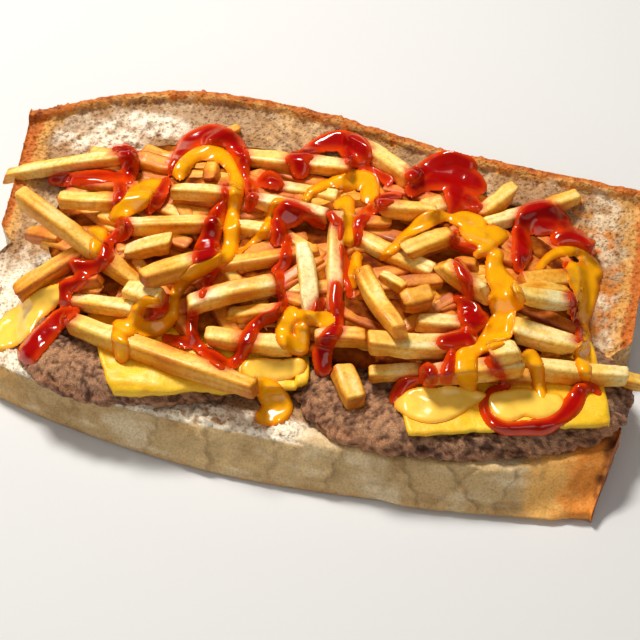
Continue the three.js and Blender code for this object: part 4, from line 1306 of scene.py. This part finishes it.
# ---- Fries ----
def resting_line(heap, fry):
    """The straight line that a fry lies along once it has come down on what is below it."""
    x1, y1, x2, y2, size = fry[:5]
    length = math.hypot(x2 - x1, y2 - y1)
    ux, uy = (x2 - x1) / length, (y2 - y1) / length
    s = np.arange(0, length + 1e-9, 1.0)
    z = np.zeros_like(s)
    for side in (-0.35, 0, 0.35):
        z = np.maximum(z, heap.at(x1 + ux * s - uy * side * size, y1 + uy * s + ux * side * size))
    hull = []
    for point in zip(s.tolist(), z.tolist()):
        while len(hull) > 1:
            a, b = hull[-2], hull[-1]
            if (b[0] - a[0]) * (point[1] - a[1]) - (b[1] - a[1]) * (point[0] - a[0]) < 0:
                break
            hull.pop()
        hull.append(point)
    following = next(k for k, point in enumerate(hull) if point[0] >= length / 2)
    a, b = hull[max(0, following - 1)], hull[max(1, following)]
    slope = min(STEEPEST, max(-STEEPEST, (b[1] - a[1]) / (b[0] - a[0])))
    start = max(point[1] - slope * point[0] for point in hull)
    return {"length": length, "ux": ux, "uy": uy, "start": start, "slope": slope}


def raise_along(heap, fry, line):
    x1, y1, size = fry[0], fry[1], fry[4]
    s = np.arange(0, line["length"] + 1e-9, 0.5)
    top = line["start"] + line["slope"] * s + size - SINK
    for side in np.arange(-0.45, 0.46, 0.15):
        off = side * size
        heap.raise_to(x1 + line["ux"] * s - line["uy"] * off, y1 + line["uy"] * s + line["ux"] * off, top)


def under_fries(rule):
    """Smaller fries in rows along the loaf, shifted and turned by seeded draws."""
    random = seeded(rule["seed"])
    fries = []
    for row in range(rule["rows"]):
        for column in range(rule["columns"]):
            x = lerp(*UNDER_X, (column + 0.5 * (row % 2)) / (rule["columns"] - 0.5))
            y = lerp(*UNDER_Y, row / (rule["rows"] - 1)) + 6 * (random() - 0.5)
            turn = math.radians(rule["turn"] * 2 * (random() - 0.5))
            half = rule["length"] * (0.4 + 0.2 * random())
            dx, dy = half * math.cos(turn), half * math.sin(turn)
            # Tones of 0.6 to 1.1, darker than most fries that show: painted shade for the gaps they lie in.
            fries.append((x - dx, y - dy, x + dx, y + dy, rule["size"], 0.6 + 0.5 * random()))
    return fries


def fry_section():
    """A square of half side 1 with soft edges and sunken faces, and how dark it is there: browned at the
    edges, and painted shade on the sides and the underside.
    """
    places, edges = [], []
    for side in range(4):
        c, s = math.cos(side * math.pi / 2), math.sin(side * math.pi / 2)
        for along_face, out in FRY_FACE:
            places.append((c * out - s * along_face, s * out + c * along_face))
            # Browner towards each edge; the sides and the underside darker as painted shade.
            edges.append(smooth(0.6, 0.95, abs(along_face)) + FRY_FACE_SHADE[(side + 3) % 4])
    return np.array(places), np.array(edges)


def fry_points(fry, line, bend, roll, seed):
    """One fry: a square bar with soft edges, a little bent and uneven, cut aslant at its ends."""
    x1, y1, _, _, size, _ = fry
    length = line["length"]
    near = [distance / max(length, FRY_SHORT) for distance, _ in FRY_END]
    shares = np.array([*near, *FRY_MIDDLE, *[1 - share for share in reversed(near)]])
    scale = np.ones(len(shares))
    for k, (_, end) in enumerate(FRY_END):
        scale[k] = scale[-1 - k] = end
    draw = [scatter(seed, k, 3, 7) for k in range(7)]
    slant1, slant2 = (draw[0] - 0.5) * 1.1, (draw[1] - 0.5) * 1.1
    ratio = 0.88 + 0.24 * draw[2]
    taper1, taper2 = 0.74 + 0.3 * draw[3], 0.74 + 0.3 * draw[4]
    scale *= lerp(taper1, 1.0, smooth(0, 0.3, shares)) * lerp(taper2, 1.0, smooth(1.0, 0.7, shares))
    section = fry_section()[0]
    across, upright = section[:, 0] * ratio * size / 2, section[:, 1] / ratio * size / 2
    twist = roll + (draw[5] - 0.5) * 0.5 * (shares - 0.5)
    sideways = np.cos(twist)[:, None] * across - np.sin(twist)[:, None] * upright
    height = np.sin(twist)[:, None] * across + np.cos(twist)[:, None] * upright
    slant = slant1 * np.clip(1 - 4 * shares, 0, 1) + slant2 * np.clip(4 * shares - 3, 0, 1)
    ahead = (shares * length)[:, None] + height * slant[:, None]
    off = bend * np.sin(np.pi * shares)[:, None] + sideways * scale[:, None]
    sag = 0.02 * length * (draw[6] - 0.6) * np.sin(np.pi * shares)[:, None]
    middle = line["start"] + line["slope"] * ahead + size / 2 - SINK - FRY_LOWER + sag
    x = x1 + line["ux"] * ahead - line["uy"] * off
    y = y1 + line["uy"] * ahead + line["ux"] * off
    points = np.stack([x, y, middle + height * scale[:, None]], axis=2)
    return dented(points, size, seed), shares


def dented(points, size, seed):
    """The rings of a fry, drawn in and out unevenly."""
    centre = points.mean(axis=1, keepdims=True)
    flat = (points + 40 * seed).reshape(-1, 3)
    dents = 1 + 0.1 * noise(flat, size * 0.8, seed) + 0.045 * noise(flat, 2.4, seed + 9)
    return centre + (points - centre) * dents.reshape(points.shape[:2])[:, :, None]


def fry_tints(points, shares, fry, length, seed):
    """Browner at the edges and the cut ends, in patches, and in streaks along the fry; darker on the sides
    and the underside as painted shade.
    """
    size, tone = fry[4:]
    tip = np.maximum(smooth(0.05, 0.0, shares), smooth(0.95, 1.0, shares))[:, None]
    patch = noise((points * 0.5 + 60 * seed).reshape(-1, 3), size * 0.7, seed + 5)
    corner, station = np.meshgrid(np.arange(FRY_CORNERS), shares * length / FRY_STREAK)
    grain = np.stack([corner, station, 7.0 * seed + 0 * corner], axis=2).reshape(-1, 3)
    streak = noise(grain, 1.0, seed + 13)
    drift = (0.3 * patch + 0.16 * streak).reshape(points.shape[:2])
    # The fry's own browning plus painted shade on its sides and underside.
    brown_and_shade = np.clip(0.75 * tone + 0.22 * fry_section()[1] + 0.2 * tip + drift, 0, 1.3).ravel()
    at = [stop[0] for stop in FRY_TONES]
    tones = np.array([PAINT[stop[1]] for stop in FRY_TONES])
    return np.stack([np.interp(brown_and_shade, at, tones[:, c]) for c in range(3)], axis=1)


def stained(points, tint):
    """The tint, orange where ketchup has run over the place or beside it."""
    u, v = pixels_of(points)
    i = np.clip(np.rint(u - SAUCE_U[0]).astype(int), 0, SAUCE_PIXELS[0].shape[0] - 1)
    j = np.clip(np.rint(v - SAUCE_V[0]).astype(int), 0, SAUCE_PIXELS[0].shape[1] - 1)
    inside = KETCHUP_FIELD[0][i, j] + 2.5 * noise(points, 3.0, 91)
    orange, red = 0.55 * smooth(-8, -2, inside), 0.9 * smooth(-3, 1, inside)
    return coated(tint, [("orange_stain", orange), ("red_stain", red)])


def placed_fries(heap):
    """Every fry with its line, bend and roll: fillers low in the gaps, then from the lowest up."""
    placed = []
    for fry in under_fries(FILLERS):
        line = resting_line(heap, fry)
        line["start"] -= FILLER_DROP
        placed.append((fry, line, 0.0, 0.0))
    for seed, most_bend, fries in ((3, None, under_fries(UNDER)), (5, 0.06, FRIES)):
        random = seeded(seed)
        for fry in fries:
            line = resting_line(heap, fry)
            bend = (random() - 0.5) * most_bend * line["length"] if most_bend else 0.0
            placed.append((fry, line, bend, (random() - 0.5) * FRY_TURN))
            raise_along(heap, fry, line)
    return placed


def fries_piece(heap, material):
    points, faces, tints = [], [], []
    size = FRY_STATIONS * FRY_CORNERS
    for k, (fry, line, bend, roll) in enumerate(placed_fries(heap)):
        fry_shape, shares = fry_points(fry, line, bend, roll, k + 1)
        faces += tube_faces(FRY_STATIONS, FRY_CORNERS, start=k * size, flipped=True)
        points.append(fry_shape.reshape(-1, 3))
        tints.append(fry_tints(fry_shape, shares, fry, line["length"], k + 1))
    points = np.concatenate(points)
    tint = stained(points, np.concatenate(tints))
    return make_piece("fries_heap", points, faces, material, ["fries"], tint)


def core_piece(heap, material):
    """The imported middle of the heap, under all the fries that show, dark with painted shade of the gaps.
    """
    angle = np.linspace(0, 2 * np.pi, CORE_SECTORS, endpoint=False)
    c, s = np.cos(angle), np.sin(angle)
    corner = 1 / rounded_reach(np.abs(c), np.abs(s), CORE["power"])
    rings = []
    for share, above in CORE_RINGS:
        x = CORE["x"] + share * corner * c * CORE["half_length"]
        y = CORE["y"] + share * corner * s * CORE["half_depth"]
        floor = heap.highest(x, y, CORE_STEP) + GAP
        z = core_top(heap, x, y, share) - CORE_LOWER if above else floor
        rings.append(np.stack([x, y, np.maximum(z, floor) + (0.2 if above else 0.0)], axis=1))
    faces = tube_faces(len(rings), len(angle))
    return make_piece("fries_core", np.concatenate(rings), faces, material, ["fries"])


# ---- Sauce ----
class Pour:
    """The food as the camera sees it: how far off it is at each pixel of the photo."""

    def __init__(self, pieces):
        self.u, self.v = SAUCE_PIXELS
        right, up, ahead = camera_axes()
        focal = PHOTO_SIDE * LENS / SENSOR
        self.pixel = DISTANCE / focal
        sideways = (self.u[..., None] - PHOTO_SIDE / 2) / focal * right
        self.way = ahead + sideways - (self.v[..., None] - PHOTO_SIDE / 2) / focal * up
        self.eye = camera_place()
        self.rise_way = np.array([0, 0, 1.0]) - ahead
        self.rise_way /= np.linalg.norm(self.rise_way)
        self.depth = self.measured(pieces, ahead)
        self.close = self.bridged(*CLOSE_BRIDGE)
        self.broad = self.bridged(*BROAD_BRIDGE)

    def measured(self, pieces, ahead):
        points, faces = [], []
        for piece in pieces:
            start = len(points)
            points += [vertex.co.copy() for vertex in piece.data.vertices]
            faces += [[start + k for k in polygon.vertices] for polygon in piece.data.polygons]
        tree = BVHTree.FromPolygons(points, faces)
        eye = (self.eye + SHIFT) * MM
        origin = Vector(eye.tolist())
        self.hit = np.zeros(self.u.shape, bool)
        depth = np.full(self.u.shape, FAR_AWAY)
        for i in range(self.u.shape[0]):
            for j in range(self.u.shape[1]):
                hit = tree.ray_cast(origin, Vector(self.way[i, j].tolist()))[0]
                if hit is not None:
                    depth[i, j] = np.dot(np.array(hit) - eye, ahead) / MM
                    self.hit[i, j] = True
        return np.where(self.hit, depth, widened(depth, 12, np.minimum))

    def bridged(self, radius, rounds):
        """The depth with gaps narrower than the radius bridged and edges rounded."""
        closed = widened(widened(self.depth, radius, np.minimum), radius, np.maximum)
        return np.minimum(softened(closed, rounds), closed)


def sheet_border(faces):
    """The edges of a sheet that belong to one face only, in the direction of that face."""
    edges = np.concatenate([faces[:, [k, (k + 1) % 4]] for k in range(4)])
    key = edges[:, 0] * (faces.max() + 1) + edges[:, 1]
    twin = edges[:, 1] * (faces.max() + 1) + edges[:, 0]
    return edges[~np.isin(key, twin)]


def sauce_depth(pour, width):
    """How far off the sauce lies: wide strands bridge wider gaps between the fries."""
    lie = lerp(pour.close, pour.broad, smooth(4, 9, width))
    return softened(np.minimum(lie, pour.close), 5)


def sauce_thickness(pour, field, look):
    inside, width = field
    share = np.clip(inside / np.clip(width, 3.0, look["edge"]), 0, 1)
    thick = look["rise"] * np.sqrt(1 - (1 - share) ** 2) * np.clip(width / look["edge"], 0.5, 1.0)
    thick += np.maximum(inside - look["edge"], 0) * pour.pixel * 0.12
    flat = np.stack([pour.u, pour.v, np.zeros_like(pour.u)], axis=-1).reshape(-1, 3)
    thick *= 1 + 0.15 * noise(flat, 16.0, look["seed"]).reshape(thick.shape)
    return softened(thick, 3)


def sauce_piece(name, pour, field, material, look):
    """Sauce poured in strands that run into one another, lying on the food below."""
    inside, width = field
    lie = sauce_depth(pour, width).ravel()
    kept = ((inside > -1.0) & pour.hit).ravel()
    quads = grid_faces(*inside.shape)
    quads = quads[kept[quads].all(axis=1)]
    steep = np.ptp(lie[quads], axis=1) >= SAUCE_JUMP
    sheet, tiles = quads[~steep], quads[steep]
    used = np.unique(sheet)
    order = np.full(len(kept), -1)
    order[used] = np.arange(len(used))
    pixel = np.concatenate([used, tiles.ravel()])
    depth = np.concatenate([lie[used], np.repeat(lie[tiles].min(axis=1), 4)])
    faces = np.concatenate([order[sheet], np.arange(tiles.size).reshape(-1, 4) + len(used)])
    way = pour.way.reshape(-1, 3)[pixel]
    rise = pour.rise_way * (sauce_thickness(pour, field, look).ravel()[pixel] - SAUCE_SINK)[:, None]
    top = pour.eye + way * depth[:, None] + rise
    bottom = pour.eye + way * (depth + SAUCE_DEEP)[:, None]
    border = sheet_border(faces)
    count = len(pixel)
    wall = np.stack([border[:, 1], border[:, 0], border[:, 0] + count, border[:, 1] + count], axis=1)
    every = np.concatenate([faces, faces[:, ::-1] + count, wall])[:, ::-1]
    full = smooth(-1, look["full"], inside.ravel()[pixel])
    tint = lerp(PAINT[look["colour"] + "_thin"], PAINT[look["colour"] + "_thick"], full[:, None])
    points = np.concatenate([top, bottom])
    return make_piece(name, points, every, material, tint=np.concatenate([tint, tint]))


# ---- Stage ----
def to_frame(place):
    """A place of the loaf's frame, in metres."""
    return Vector(((place + SHIFT) * MM).tolist())


def look_at(thing, place):
    thing.rotation_euler = (Vector(place) - thing.location).to_track_quat("-Z", "Y").to_euler()


def add_camera():
    data = bpy.data.cameras.new("camera")
    data.lens = LENS
    data.sensor_width = SENSOR
    camera = added("camera", data)
    camera.location = to_frame(camera_place())
    look_at(camera, to_frame(TARGET))
    bpy.context.scene.camera = camera


def add_floor():
    half = FLOOR_HALF
    mesh = bpy.data.meshes.new("floor")
    corners = [(-half, -half, 0), (half, -half, 0), (half, half, 0), (-half, half, 0)]
    mesh.from_pydata(corners, [], [(0, 1, 2, 3)])
    floor = added("floor", mesh)
    floor.location.z = -FLOOR_DROP
    mesh.materials.append(Finish("floor", 0.75, Base_Color=FLOOR_COLOUR).material)


def add_light(name, place, size, power, colour, glossy):
    data = bpy.data.lights.new(name, "AREA")
    data.shape = "RECTANGLE"
    data.size, data.size_y = size
    data.energy = power
    data.color = colour
    light = added(name, data)
    light.location = place
    light.visible_glossy = glossy
    look_at(light, LIGHTS_AIM)


def add_lights():
    for light in LIGHTS:
        add_light(*light)
    world = bpy.data.worlds.new("studio")
    world.use_nodes = True
    background = world.node_tree.nodes["Background"]
    background.inputs["Color"].default_value = WORLD_COLOUR
    background.inputs["Strength"].default_value = WORLD_STRENGTH
    bpy.context.scene.world = world


# ---- Assembly ----
def build():
    add_camera()
    pieces = [loaf_piece(bread_finish())]
    beef = beef_finish()
    pieces += [patty_piece(patty, beef) for patty in PATTIES]
    cheese = slice_finish()
    pieces += [slice_piece(one, cheese) for one in SLICES]
    heap = base_map()
    pieces.append(core_piece(heap, gap_shade_finish()))
    pieces.append(fries_piece(heap, fry_finish()))
    pour = Pour(pieces)
    red = sauce_finish("ketchup", 0.14, 0.12)
    yellow = sauce_finish("cheese_sauce", 0.2, 0.2)
    sauce_piece("ketchup_strands", pour, KETCHUP_FIELD, red, KETCHUP_LOOK)
    pale = strand_field(PALE_POOLS, PALE_LOOK["seed"])
    sauce_piece("pale_pools", pour, pale, yellow, PALE_LOOK)
    strands = strand_field(CHEESE_STRANDS, CHEESE_LOOK["seed"])
    sauce_piece("cheese_strands", pour, strands, yellow, CHEESE_LOOK)
    add_floor()
    add_lights()
    bpy.context.scene.view_settings.view_transform = "Standard"


build()
